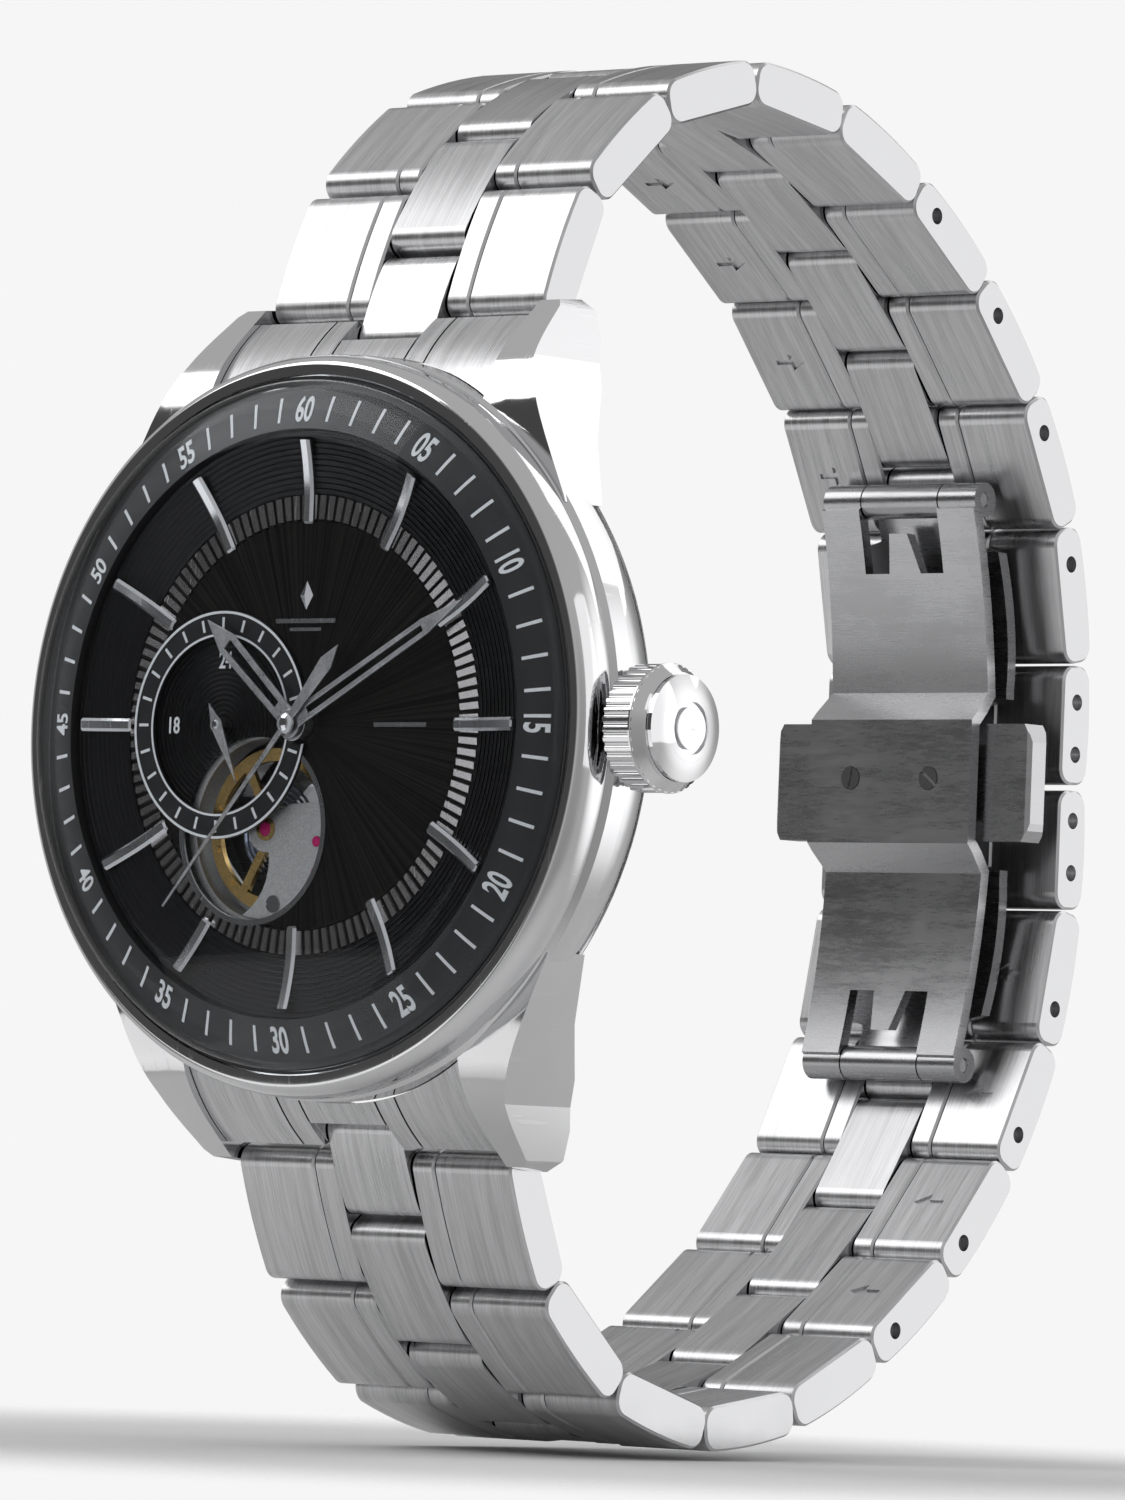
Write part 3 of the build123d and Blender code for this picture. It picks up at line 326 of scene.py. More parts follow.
class Graph:
    """Node tree being laid out, with short calls for what the finishes need."""

    def __init__(self, tree: bpy.types.NodeTree) -> None:
        """Starts on an empty tree."""
        self.tree = tree
        tree.nodes.clear()

    def node(self, kind: str, inputs: dict[int | str, object] | None = None,
             **settings: object) -> bpy.types.Node:
        """Adds a node, sets its options, then sets or links its inputs.

        Args:
            kind: Node type without the ShaderNode prefix.
            inputs: Values or sockets by input name or number.
            settings: Options of the node.

        Returns:
            The new node.
        """
        made = self.tree.nodes.new(kind if kind.startswith("Node") else f"ShaderNode{kind}")
        for key, value in settings.items():
            setattr(made, key, value)
        for key, value in (inputs or {}).items():
            if isinstance(value, bpy.types.NodeSocket):
                self.tree.links.new(value, made.inputs[key])
            else:
                made.inputs[key].default_value = value
        return made

    def math(self, operation: str, first: object, second: object = 0.0) -> bpy.types.NodeSocket:
        """Result of a Math node."""
        return self.node("Math", {0: first, 1: second}, operation=operation).outputs[0]

    def vector_math(self, operation: str, first: object, second: object = (0, 0, 0)) -> bpy.types.Node:
        """A Vector Math node."""
        return self.node("VectorMath", {0: first, 1: second}, operation=operation)

    def mapped(self, scale: Vec3 = AS_IS, location: Vec3 = (0, 0, 0),
               rotation: Vec3 = (0, 0, 0)) -> bpy.types.NodeSocket:
        """Object coordinates turned, scaled and moved by a Mapping node.

        Args:
            scale: Scale along each axis.
            location: Shift after the scale.
            rotation: Turn about each axis in radians.

        Returns:
            The mapped coordinates.
        """
        source = self.node("TexCoord").outputs["Object"]
        return self.node("Mapping", {"Vector": source, "Scale": scale, "Location": location,
                                     "Rotation": rotation}).outputs[0]

    def noise(self, vector: object, scale: float, detail: float = 2.0,
              roughness: float = 0.5) -> bpy.types.NodeSocket:
        """Value of a Noise Texture."""
        return self.node("TexNoise", {"Vector": vector, "Scale": scale, "Detail": detail,
                                      "Roughness": roughness}).outputs[0]

    def between(self, value: object, low: float, high: float, out_low: float = 0.0,
                out_high: float = 1.0) -> bpy.types.NodeSocket:
        """Value eased from one range to another by a Map Range node."""
        return self.node("MapRange", {0: value, 1: low, 2: high, 3: out_low, 4: out_high},
                         interpolation_type="SMOOTHSTEP").outputs[0]

    def blend(self, mask: object, first: object, second: object) -> bpy.types.NodeSocket:
        """Colour between two colours.

        Args:
            mask: Share of the second colour.
            first: Colour or socket where the mask is 0.
            second: Colour or socket where the mask is 1.

        Returns:
            The mixed colour.
        """
        mixed = self.node("Mix", data_type="RGBA")
        for index, value in ((0, mask), (6, first), (7, second)):
            if isinstance(value, bpy.types.NodeSocket):
                self.tree.links.new(value, mixed.inputs[index])
            else:
                mixed.inputs[index].default_value = value
        return mixed.outputs[2]

    def use(self, group: bpy.types.NodeTree, inputs: dict[int | str, object]) -> bpy.types.Node:
        """Places a shared effect.

        Args:
            group: Effect to place.
            inputs: Values or sockets by input name.

        Returns:
            The group node.
        """
        placed = self.node("Group", node_tree=group)
        for key, value in inputs.items():
            if isinstance(value, bpy.types.NodeSocket):
                self.tree.links.new(value, placed.inputs[key])
            else:
                placed.inputs[key].default_value = value
        return placed


def effect(name: str, inputs: dict[str, str],
           outputs: dict[str, str]) -> tuple[bpy.types.NodeTree, Graph, bpy.types.Node]:
    """Starts a shared effect as a node group.

    Args:
        name: Name of the group.
        inputs: Socket type by input name.
        outputs: Socket type by output name.

    Returns:
        The group, its graph and its input node.
    """
    group = bpy.data.node_groups.new(name, "ShaderNodeTree")
    for direction, sockets in (("INPUT", inputs), ("OUTPUT", outputs)):
        for socket, kind in sockets.items():
            group.interface.new_socket(name=socket, in_out=direction, socket_type=f"NodeSocket{kind}")
    graph = Graph(group)
    return group, graph, graph.node("NodeGroupInput")


class Effects:
    """Effects shared by several finishes, each built once."""

    made: ClassVar[dict[str, bpy.types.NodeTree]] = {}

    @classmethod
    def get(cls, name: str, build: Callable[[str], bpy.types.NodeTree]) -> bpy.types.NodeTree:
        """The named effect, built the first time it is asked for.

        Args:
            name: Name of the effect.
            build: Function that lays the effect out.

        Returns:
            The effect's node group.
        """
        if name not in cls.made:
            cls.made[name] = build(name)
        return cls.made[name]

    @classmethod
    def grain(cls) -> bpy.types.NodeTree:
        """Fine and coarse strokes of a stretched noise, from coordinates already stretched.

        Returns:
            The effect's node group.
        """
        def build(name: str) -> bpy.types.NodeTree:
            """Lays out the strokes.

            Args:
                name: Name of the group.

            Returns:
                The new group.
            """
            group, graph, start = effect(name, {"Vector": "Vector"}, {"Mask": "Float", "Height": "Float"})
            fine = graph.noise(start.outputs["Vector"], 1.0, 3.0, 0.65)
            wide = graph.noise(graph.vector_math("SCALE", start.outputs["Vector"]).outputs[0], 1.0, 2.0)
            group.nodes["Vector Math"].inputs["Scale"].default_value = 0.17
            both = graph.math("ADD", graph.math("MULTIPLY", fine, 0.6), graph.math("MULTIPLY", wide, 0.4))
            graph.node("NodeGroupOutput", {"Mask": graph.between(both, 0.32, 0.68), "Height": both})
            return group
        return cls.get("brushed_grain", build)

    @classmethod
    def handling(cls) -> bpy.types.NodeTree:
        """Faint smears and hairline marks left by handling.

        Returns:
            The effect's node group.
        """
        def build(name: str) -> bpy.types.NodeTree:
            """Lays out the smears and marks.

            Args:
                name: Name of the group.

            Returns:
                The new group.
            """
            group, graph, start = effect(name, {"Vector": "Vector"}, {"Smear": "Float", "Marks": "Float"})
            smear = graph.between(graph.noise(start.outputs["Vector"], 140.0, 3.0), 0.35, 0.7)
            bent = graph.node("Mapping", {"Vector": start.outputs["Vector"], "Rotation": (0.6, 0.3, 0.9),
                                          "Scale": (9000.0, 260.0, 260.0)}).outputs[0]
            marks = graph.between(graph.noise(bent, 1.0, 1.0), 0.66, 0.74)
            graph.node("NodeGroupOutput", {"Smear": smear, "Marks": marks})
            return group
        return cls.get("handling_marks", build)

    @classmethod
    def rays(cls) -> bpy.types.NodeTree:
        """Strokes that fan out from a centre: noise over the direction of each point.

        Returns:
            The effect's node group.
        """
        def build(name: str) -> bpy.types.NodeTree:
            """Lays out the fan.

            Args:
                name: Name of the group.

            Returns:
                The new group.
            """
            group, graph, start = effect(name, {"Vector": "Vector", "Count": "Float"}, {"Height": "Float"})
            flat = graph.vector_math("MULTIPLY", start.outputs["Vector"], (1, 0, 1)).outputs[0]
            heading = graph.vector_math("NORMALIZE", flat).outputs[0]
            fan = graph.vector_math("SCALE", heading)
            group.links.new(start.outputs["Count"], fan.inputs["Scale"])
            graph.node("NodeGroupOutput", {"Height": graph.noise(fan.outputs[0], 1.0, 3.0, 0.7)})
            return group
        return cls.get("sun_rays", build)

    @classmethod
    def rings(cls) -> bpy.types.NodeTree:
        """Concentric grooves: a sine of the distance from the centre, in millimetres, over the pitch.

        Returns:
            The effect's node group.
        """
        def build(name: str) -> bpy.types.NodeTree:
            """Lays out the rings.

            Args:
                name: Name of the group.

            Returns:
                The new group.
            """
            group, graph, start = effect(name, {"Vector": "Vector", "Pitch": "Float"},
                                         {"Height": "Float", "Radius": "Float"})
            flat = graph.vector_math("MULTIPLY", start.outputs["Vector"], (1, 0, 1)).outputs[0]
            radius = graph.vector_math("LENGTH", flat).outputs["Value"]
            phase = graph.math("MULTIPLY", graph.math("DIVIDE", radius, start.outputs["Pitch"]), 2 * math.pi)
            graph.node("NodeGroupOutput", {"Height": graph.math("SINE", phase), "Radius": radius})
            return group
        return cls.get("ring_grooves", build)


@dataclass(frozen=True)
class Finish:
    """A surface finish, made into a material once."""

    name: str
    made: ClassVar[dict[str, bpy.types.Material]] = {}

    def material(self) -> bpy.types.Material:
        """The finish as a material.

        Returns:
            The material, made on the first call.
        """
        if self.name not in Finish.made:
            material = bpy.data.materials.new(self.name)
            material.use_nodes = True
            graph = Graph(material.node_tree)
            shader = self.shade(graph)
            graph.node("OutputMaterial", {"Surface": shader})
            Finish.made[self.name] = material
        return Finish.made[self.name]

    def shade(self, graph: Graph) -> bpy.types.NodeSocket:
        """Lays out the shader; each finish has its own."""
        raise NotImplementedError


def toned(tone: Vec3, factor: float = 1.0) -> tuple[float, float, float, float]:
    """Opaque colour of a tone made darker or lighter by a factor, at most full."""
    return tuple(min(factor * channel, 1.0) for channel in tone) + (1.0,)


def bumped(graph: Graph, height: object, distance: float, strength: float = 1.0) -> bpy.types.NodeSocket:
    """Normal of a Bump node, its distance in millimetres."""
    return graph.node("Bump", {"Height": height, "Distance": distance * MM, "Strength": strength}).outputs[0]


@dataclass(frozen=True)
class BrushedSteel(Finish):
    """Steel brushed in one direction, with its side faces polished."""

    tone: Vec3 = (0.62, 0.62, 0.63)
    roughness: float = 0.3
    strokes: Vec3 = (9000.0, 260.0, 260.0)
    depth: float = 0.0025
    contrast: float = 0.3
    bright_sides: bool = True

    def shade(self, graph: Graph) -> bpy.types.NodeSocket:
        """Grain moves the colour, the roughness and the surface; faces across X lose it.

        Args:
            graph: Node tree of the material.

        Returns:
            Output of the finished shader.
        """
        grain = graph.use(Effects.grain(), {"Vector": graph.mapped(self.strokes)})
        marks = graph.use(Effects.handling(), {"Vector": graph.mapped()})
        plain: object = 1.0
        if self.bright_sides:
            side = graph.node("SeparateXYZ", {0: graph.node("TexCoord").outputs["Normal"]}).outputs[0]
            plain = graph.between(graph.math("ABSOLUTE", side), 0.75, 0.9, 1.0, 0.0)
        mask = graph.math("MULTIPLY", grain.outputs["Mask"], plain)
        dark = toned(self.tone, 1.0 - self.contrast)
        light = toned(self.tone, 1.0 + 0.6 * self.contrast)
        colour = graph.blend(graph.math("ADD", graph.math("MULTIPLY", mask, 0.75), 0.25), dark, light)
        rough = graph.math("ADD", graph.math("MULTIPLY", plain, self.roughness - 0.1),
                           graph.math("ADD", graph.math("MULTIPLY", grain.outputs["Mask"], 0.08),
                                      graph.math("MULTIPLY", marks.outputs["Smear"], 0.05)))
        height = graph.math("MULTIPLY", grain.outputs["Height"], plain)
        return graph.node("BsdfPrincipled", {
            "Base Color": colour, "Metallic": 1.0, "Roughness": graph.math("ADD", rough, 0.06),
            "Normal": bumped(graph, height, self.depth)}).outputs[0]


@dataclass(frozen=True)
class PolishedSteel(Finish):
    """Mirror-polished steel with faint handling marks."""

    tone: Vec3 = (0.74, 0.74, 0.75)
    roughness: float = 0.06

    def shade(self, graph: Graph) -> bpy.types.NodeSocket:
        """Smears and hairlines lift the roughness a little.

        Args:
            graph: Node tree of the material.

        Returns:
            Output of the finished shader.
        """
        marks = graph.use(Effects.handling(), {"Vector": graph.mapped()})
        worn = graph.math("ADD", graph.math("MULTIPLY", marks.outputs["Smear"], 0.05),
                          graph.math("MULTIPLY", marks.outputs["Marks"], 0.1))
        colour = graph.blend(marks.outputs["Smear"], toned(self.tone), toned(self.tone, 0.96))
        return graph.node("BsdfPrincipled", {
            "Base Color": colour, "Metallic": 1.0, "Roughness": graph.math("ADD", worn, self.roughness),
            "Normal": bumped(graph, marks.outputs["Marks"], 0.001)}).outputs[0]


@dataclass(frozen=True)
class DialLacquer(Finish):
    """Near-black sunray lacquer with a grooved small dial and a grooved outer track."""

    small_centre: tuple[float, float] = (-6.3, 0.0)
    small_radius: float = 5.25
    track_start: float = 13.6
    groove_pitch: float = 0.3
    # Tones of the flat: the dark brown-black is the dial's own, the lighter warm rays are a painted sheen
    shaded: tuple[float, float, float, float] = (0.006, 0.006, 0.0065, 1.0)
    lit: tuple[float, float, float, float] = (0.022, 0.019, 0.017, 1.0)
    track: tuple[float, float, float, float] = (0.014, 0.014, 0.015, 1.0)

    def shade(self, graph: Graph) -> bpy.types.NodeSocket:
        """Rays on the flat, each painted lighter or darker as a painted sheen and painted shade, rings in the
        small dial and on the track, chosen by distance from the centres.

        Args:
            graph: Node tree of the material.

        Returns:
            Output of the finished shader.
        """
        spot = graph.mapped(IN_MM)
        small_spot = graph.mapped(IN_MM, (-self.small_centre[0], 0.0, -self.small_centre[1]))
        big = graph.use(Effects.rings(), {"Vector": spot, "Pitch": self.groove_pitch * 1.1})
        small = graph.use(Effects.rings(), {"Vector": small_spot, "Pitch": self.groove_pitch})
        rays = graph.use(Effects.rays(), {"Vector": spot, "Count": 55.0})
        in_small = graph.between(small.outputs["Radius"], self.small_radius - 0.02,
                                 self.small_radius + 0.02, 1.0, 0.0)
        on_track = graph.between(big.outputs["Radius"], self.track_start - 0.02, self.track_start + 0.02)
        flat = graph.math("MULTIPLY", graph.math("SUBTRACT", 1.0, in_small),
                          graph.math("SUBTRACT", 1.0, on_track))
        track_rings = graph.math("MULTIPLY", big.outputs["Height"], on_track)
        ringed = graph.math("ADD", graph.math("MULTIPLY", small.outputs["Height"], in_small),
                            graph.math("MULTIPLY", track_rings, 0.4))
        flat_rays = graph.math("MULTIPLY", rays.outputs["Height"], flat)
        height = graph.math("ADD", graph.math("MULTIPLY", flat_rays, 0.35),
                            graph.math("MULTIPLY", ringed, 0.5))
        # shine paints each ray lighter and warmer (painted sheen) and also roughens it
        shine = graph.between(rays.outputs["Height"], 0.3, 0.7)
        base = graph.blend(graph.math("MULTIPLY", shine, flat), self.shaded, self.lit)
        colour = graph.blend(on_track, base, self.track)
        return graph.node("BsdfPrincipled", {
            "Base Color": colour, "Metallic": 0.9,
            "Roughness": graph.math("ADD", graph.math("MULTIPLY", shine, 0.12), 0.3),
            "Coat Weight": 0.25, "Coat Roughness": 0.12,
            "Normal": bumped(graph, height, 0.045)}).outputs[0]


@dataclass(frozen=True)
class Lacquer(Finish):
    """Plain gloss or satin paint with a slight unevenness."""

    tone: Vec3 = (0.02, 0.02, 0.022)
    roughness: float = 0.3
    speckle: float = 2500.0

    def shade(self, graph: Graph) -> bpy.types.NodeSocket:
        """Fine noise moves the tone and the roughness.

        Args:
            graph: Node tree of the material.

        Returns:
            Output of the finished shader.
        """
        fleck = graph.noise(graph.mapped(), self.speckle, 3.0)
        colour = graph.blend(fleck, toned(self.tone, 0.85), toned(self.tone))
        worn = graph.math("ADD", graph.math("MULTIPLY", fleck, 0.1), self.roughness)
        return graph.node("BsdfPrincipled", {
            "Base Color": colour, "Roughness": worn,
            "Normal": bumped(graph, fleck, 0.0015)}).outputs[0]


@dataclass(frozen=True)
class SatinMetal(Finish):
    """Metal with a plain frosted, sandblasted or turned face."""

    tone: Vec3 = (0.7, 0.7, 0.71)
    roughness: float = 0.35
    grain_scale: float = 9000.0
    depth: float = 0.006

    def shade(self, graph: Graph) -> bpy.types.NodeSocket:
        """Fine speckle moves the colour and the surface, broad noise the roughness.

        Args:
            graph: Node tree of the material.

        Returns:
            Output of the finished shader.
        """
        speck = graph.noise(graph.mapped(), self.grain_scale, 2.0, 0.7)
        broad = graph.noise(graph.mapped(), 350.0, 2.0)
        colour = graph.blend(graph.between(speck, 0.3, 0.7), toned(self.tone, 0.8), toned(self.tone, 1.08))
        return graph.node("BsdfPrincipled", {
            "Base Color": colour, "Metallic": 1.0,
            "Roughness": graph.math("ADD", graph.math("MULTIPLY", broad, 0.12), self.roughness - 0.06),
            "Normal": bumped(graph, speck, self.depth)}).outputs[0]


@dataclass(frozen=True)
class StripedPlate(Finish):
    """Rhodium plate with straight decorative stripes across the movement."""

    pitch: float = 1.5
    tilt: float = 0.5

    def shade(self, graph: Graph) -> bpy.types.NodeSocket:
        """A saw wave across the plate tilts each stripe and paints it from a painted shade at one edge to a
        painted highlight at the other; fine strokes run across it.

        Args:
            graph: Node tree of the material.

        Returns:
            Output of the finished shader.
        """
        spot = graph.mapped(IN_MM, rotation=(0.0, self.tilt, 0.0))
        across = graph.node("SeparateXYZ", {0: spot}).outputs[0]
        saw = graph.math("FRACT", graph.math("DIVIDE", across, self.pitch))
        strokes = graph.noise(graph.mapped((300.0, 300.0, 9000.0), rotation=(0.0, self.tilt, 0.0)), 1.0, 2.0)
        # Colour follows the saw: painted shade at one edge of each stripe, painted highlight at the other
        colour = graph.blend(saw, (0.52, 0.52, 0.53, 1.0), (0.76, 0.76, 0.77, 1.0))
        height = graph.math("ADD", saw, graph.math("MULTIPLY", strokes, 0.1))
        return graph.node("BsdfPrincipled", {
            "Base Color": colour, "Metallic": 1.0,
            "Roughness": graph.math("ADD", graph.math("MULTIPLY", strokes, 0.15), 0.22),
            "Normal": bumped(graph, height, 0.03)}).outputs[0]


@dataclass(frozen=True)
class Ruby(Finish):
    """Clear red synthetic stone."""

    def shade(self, graph: Graph) -> bpy.types.NodeSocket:
        """Deep red with a lighter cloud and a hard gloss.

        Args:
            graph: Node tree of the material.

        Returns:
            Output of the finished shader.
        """
        cloud = graph.noise(graph.mapped(), 2200.0, 2.0)
        colour = graph.blend(cloud, (0.3, 0.008, 0.06, 1.0), (0.62, 0.03, 0.2, 1.0))
        return graph.node("BsdfPrincipled", {
            "Base Color": colour, "Roughness": graph.between(cloud, 0.0, 1.0, 0.04, 0.12),
            "Coat Weight": 1.0, "Coat Roughness": 0.03}).outputs[0]


@dataclass(frozen=True)
class ClearGlass(Finish):
    """Clear crystal; lamp rays pass straight through."""

    tint: Vec3 = (0.96, 0.98, 1.0)

    def shade(self, graph: Graph) -> bpy.types.NodeSocket:
        """Transmission for sight, a Transparent shader for light.

        Args:
            graph: Node tree of the material.

        Returns:
            Output of the finished shader.
        """
        wipe = graph.between(graph.noise(graph.mapped(), 90.0, 2.0), 0.3, 0.8, 0.0, 0.012)
        glass = graph.node("BsdfPrincipled", {
            "Base Color": (*self.tint, 1.0), "Roughness": wipe, "IOR": 1.2,
            "Transmission Weight": 1.0}).outputs[0]
        through = graph.node("BsdfTransparent").outputs[0]
        is_lamp = graph.node("LightPath").outputs["Is Shadow Ray"]
        return graph.node("MixShader", {0: is_lamp, 1: glass, 2: through}).outputs[0]


BRUSHED = BrushedSteel("bracelet_brushed")
CENTRE_BRUSHED = BrushedSteel("end_link_brushed", tone=(0.64, 0.64, 0.65), roughness=0.28)
MIRROR = PolishedSteel("case_polish")
HAND_STEEL = BrushedSteel("hand_brushed", tone=(0.6, 0.6, 0.61), roughness=0.3,
                          strokes=(5000.0, 5000.0, 5000.0), depth=0.001, bright_sides=False)
BATON_STEEL = PolishedSteel("baton_polish", tone=(0.8, 0.8, 0.81), roughness=0.12)
CLASP_STEEL = BrushedSteel("clasp_satin", tone=(0.46, 0.46, 0.47), roughness=0.26,
                           strokes=(900.0, 900.0, 9000.0), depth=0.00005, contrast=0.06, bright_sides=False)
DIAL_BLACK = DialLacquer("dial_lacquer")
RING_BLACK = Lacquer("ring_lacquer", tone=(0.006, 0.006, 0.007), roughness=0.34)
PRINT = Lacquer("white_print", tone=(0.86, 0.88, 0.9), roughness=0.45, speckle=6000.0)
GILT = SatinMetal("gilt_brass", tone=(0.8, 0.55, 0.22), roughness=0.24, depth=0.002)
FROSTED = SatinMetal("frosted_rhodium", tone=(0.5, 0.5, 0.5), roughness=0.46, depth=0.009)
TURNED = SatinMetal("turned_nickel", tone=(0.6, 0.6, 0.6), roughness=0.3, depth=0.003)
STRIPES = StripedPlate("striped_rhodium")
SPRING = SatinMetal("tempered_spring", tone=(0.3, 0.33, 0.42), roughness=0.22, depth=0.001)
BLACK_RUBBER = Lacquer("black_rubber", tone=(0.02, 0.02, 0.022), roughness=0.6)
JEWEL = Ruby("ruby_stone")
CRYSTAL = ClearGlass("clear_crystal")
DARK_CHROME = PolishedSteel("dark_chrome", tone=(0.42, 0.4, 0.4), roughness=0.16)


# ---------------------------------------------------------------- sub-assemblies


def spherical_cap(rim: tuple[float, float], apex: float) -> list[tuple[float, float]]:
    """Profile of a cap from its rim to the axis: y = apex + R - sqrt(R^2 - r^2), R set by rim and apex.

    Args:
        rim: Radius and height where the cap starts.
        apex: Height of the cap on the axis.

    Returns:
        Radius and height of each point, from the rim inwards.
    """
    rise = rim[1] - apex
    sphere = (rim[0] ** 2 + rise ** 2) / (2 * rise)
    radius = rim[0] * np.linspace(1, 0, 14)
    level = apex + sphere - np.sqrt(sphere ** 2 - radius ** 2)
    return list(zip(radius.tolist(), level.tolist()))


@dataclass
class WatchCase:
    """Case middle with lugs, bezel, crystal and case back."""

    bezel_radius: float = 21.9
    bezel_top: float = -9.1
    bezel_foot: float = -6.62
    gasket_radius: float = 20.5
    seat_radius: float = 20.03
    seat_level: float = -8.7
    glass_radius: float = 20.3
    glass_edge: float = -9.2
    dome_start: tuple[float, float] = (17.6, -10.95)
    dome_apex: float = -11.7
    hollow_start: tuple[float, float] = (17.3, -10.2)
    hollow_apex: float = -10.9
    hollow_reach: float = 0.43
    shoulder_in: float = 0.8
    shoulder_drop: float = 1.7
    segments: int = 256

    def build(self) -> None:
        """Turns the bezel and the crystal."""
        add_piece("bezel_ring", turned(self.bezel_profile(), self.segments), MIRROR, "watch_head",
                  Slot.POLISHED, ("bezel",))
        add_piece("crystal_lens", turned(self.crystal_profile(), self.segments), CRYSTAL, "watch_head",
                  Slot.GLASS, ("crystal",), crease=20.0)

    def bezel_profile(self) -> list[tuple[float, float]]:
        """Upright wall, quarter-ellipse shoulder of 16 steps, narrow flat lip, then down inside.

        Returns:
            Radius and height of each point, closed.
        """
        turn = np.linspace(0, np.pi / 2, 16)
        outer = self.bezel_radius - self.shoulder_in + self.shoulder_in * np.cos(turn)
        level = self.bezel_top + self.shoulder_drop - self.shoulder_drop * np.sin(turn)
        shoulder = list(zip(outer.tolist(), level.tolist()))
        foot = [(self.seat_radius, self.bezel_foot), (self.bezel_radius - 0.3, self.bezel_foot),
                (self.bezel_radius - 0.12, self.bezel_foot - 0.1), (self.bezel_radius, self.bezel_foot - 0.3)]
        inside = [(self.gasket_radius + 0.08, self.bezel_top + 0.01),
                  (self.gasket_radius, self.bezel_top + 0.08), (self.gasket_radius, self.seat_level),
                  (self.seat_radius, self.seat_level)]
        return foot + shoulder + inside + foot[:1]

    def crystal_profile(self) -> list[tuple[float, float]]:
        """Box crystal: upright edge, quarter-ellipse shoulder, spherical cap, then the same hollow inside.

        Returns:
            Radius and height of each point, closed at the foot.
        """
        turn = np.linspace(0, np.pi / 2, 12)
        reach = self.glass_radius - self.dome_start[0]
        drop = self.glass_edge - self.dome_start[1]
        outer = self.dome_start[0] + reach * np.cos(turn)
        level = self.glass_edge - drop * np.sin(turn)
        shoulder = list(zip(outer.tolist(), level.tolist()))
        foot = self.seat_level - 0.01
        inside = [(self.seat_radius - self.hollow_reach, self.glass_edge - 0.05), (self.seat_radius, foot)]
        return ([(self.seat_radius, foot), (self.glass_radius, foot)] + shoulder
                + spherical_cap(self.dome_start, self.dome_apex)[1:]
                + spherical_cap(self.hollow_start, self.hollow_apex)[::-1] + inside)

    def dress(self) -> None:
        """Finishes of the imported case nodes."""
        wear({"case_middle": MIRROR, "crystal_gasket": BLACK_RUBBER, "case_back": TURNED,
              "back_glass": CRYSTAL, "crown_tube": MIRROR, "end_links": CENTRE_BRUSHED,
              "spring_bars": TURNED})


@dataclass
class MinuteScale:
    """Numbers and strokes printed on the sloping ring round the dial."""

    inner: tuple[float, float] = (17.35, -9.7)
    outer: tuple[float, float] = (19.5, -8.92)
    number_radius: float = 18.45
    number_height: float = 1.4
    stroke_span: tuple[float, float] = (17.8, 19.15)
    stroke_width: float = 0.2
    stroke_thick: float = 0.01
    squeeze: float = 0.72
    weight: float = 0.022
    lift: float = 0.015

    def level(self, radius: np.ndarray) -> np.ndarray:
        """Height of the sloping ring: a straight line between its inner and outer edges."""
        share = (radius - self.inner[0]) / (self.outer[0] - self.inner[0])
        return self.inner[1] + share * (self.outer[1] - self.inner[1])

    def printed(self, shape: Surface, angle: float, radius: float, facing: Facing) -> Surface:
        """Flat shape wrapped on the ring: right becomes an angle, up a radius, thick a lift off the slope.

        Args:
            shape: Points (right, up, thick) about the shape's centre.
            angle: Clockwise angle from twelve in degrees.
            radius: Radius of the shape's centre.
            facing: Which way its top points.

        Returns:
            The wrapped shape.
        """
        right, up, thick = shape.points.T * np.array([[facing.value], [facing.value], [1]])
        turn = math.radians(angle) + right / radius
        reach = radius + up
        height = self.level(reach) - self.lift - thick
        return Surface(DIAL_PLACE.at(reach * np.cos(turn), reach * np.sin(turn), height), shape.faces)

    def build(self) -> None:
        """Twelve numbers and four strokes between each pair."""
        numbers, strokes = [], []
        middle = sum(self.stroke_span) / 2
        half = (self.stroke_span[1] - self.stroke_span[0]) / 2
        corners = ((-1, -1), (1, -1), (1, 1), (-1, 1))
        unit = np.array([[(x, y, z) for x, y in corners] for z in (-1, 1)], float)
        bar = loft(unit * (self.stroke_width / 2, half, self.stroke_thick))
        for minute in range(60):
            if minute % 5:
                strokes.append(self.printed(bar, 6 * minute, middle, Facing.OUTWARD))
                continue
            facing = Facing.INWARD if 20 <= minute <= 40 else Facing.OUTWARD
            shape = lettering(f"{minute or 60:02d}", self.number_height, self.squeeze, self.weight)
            numbers.append(self.printed(shape, 6 * minute, self.number_radius, facing))
        add_piece("minute_numbers", joined(numbers), PRINT, "watch_head", Slot.PRINT)
        add_piece("minute_strokes", joined(strokes), PRINT, "watch_head", Slot.PRINT)

    def dress(self) -> None:
        """Finish of the ring itself."""
        wear({"minute_ring": RING_BLACK})


def joined(surfaces: Sequence[Surface]) -> Surface:
    """Several surfaces as one.

    Args:
        surfaces: Surfaces to put together, at least one.

    Returns:
        One surface with all their faces.
    """
    total = surfaces[0]
    for surface in surfaces[1:]:
        total = total + surface
    return total


def wear(finishes: dict[str, Finish]) -> None:
    """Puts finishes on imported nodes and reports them.

    Args:
        finishes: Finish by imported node.
    """
    for node, finish in finishes.items():
        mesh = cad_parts[node].data
        if mesh.materials:
            mesh.materials[0] = finish.material()
        else:
            mesh.materials.append(finish.material())
        LOG.info("%s wears %s", node, finish.name)


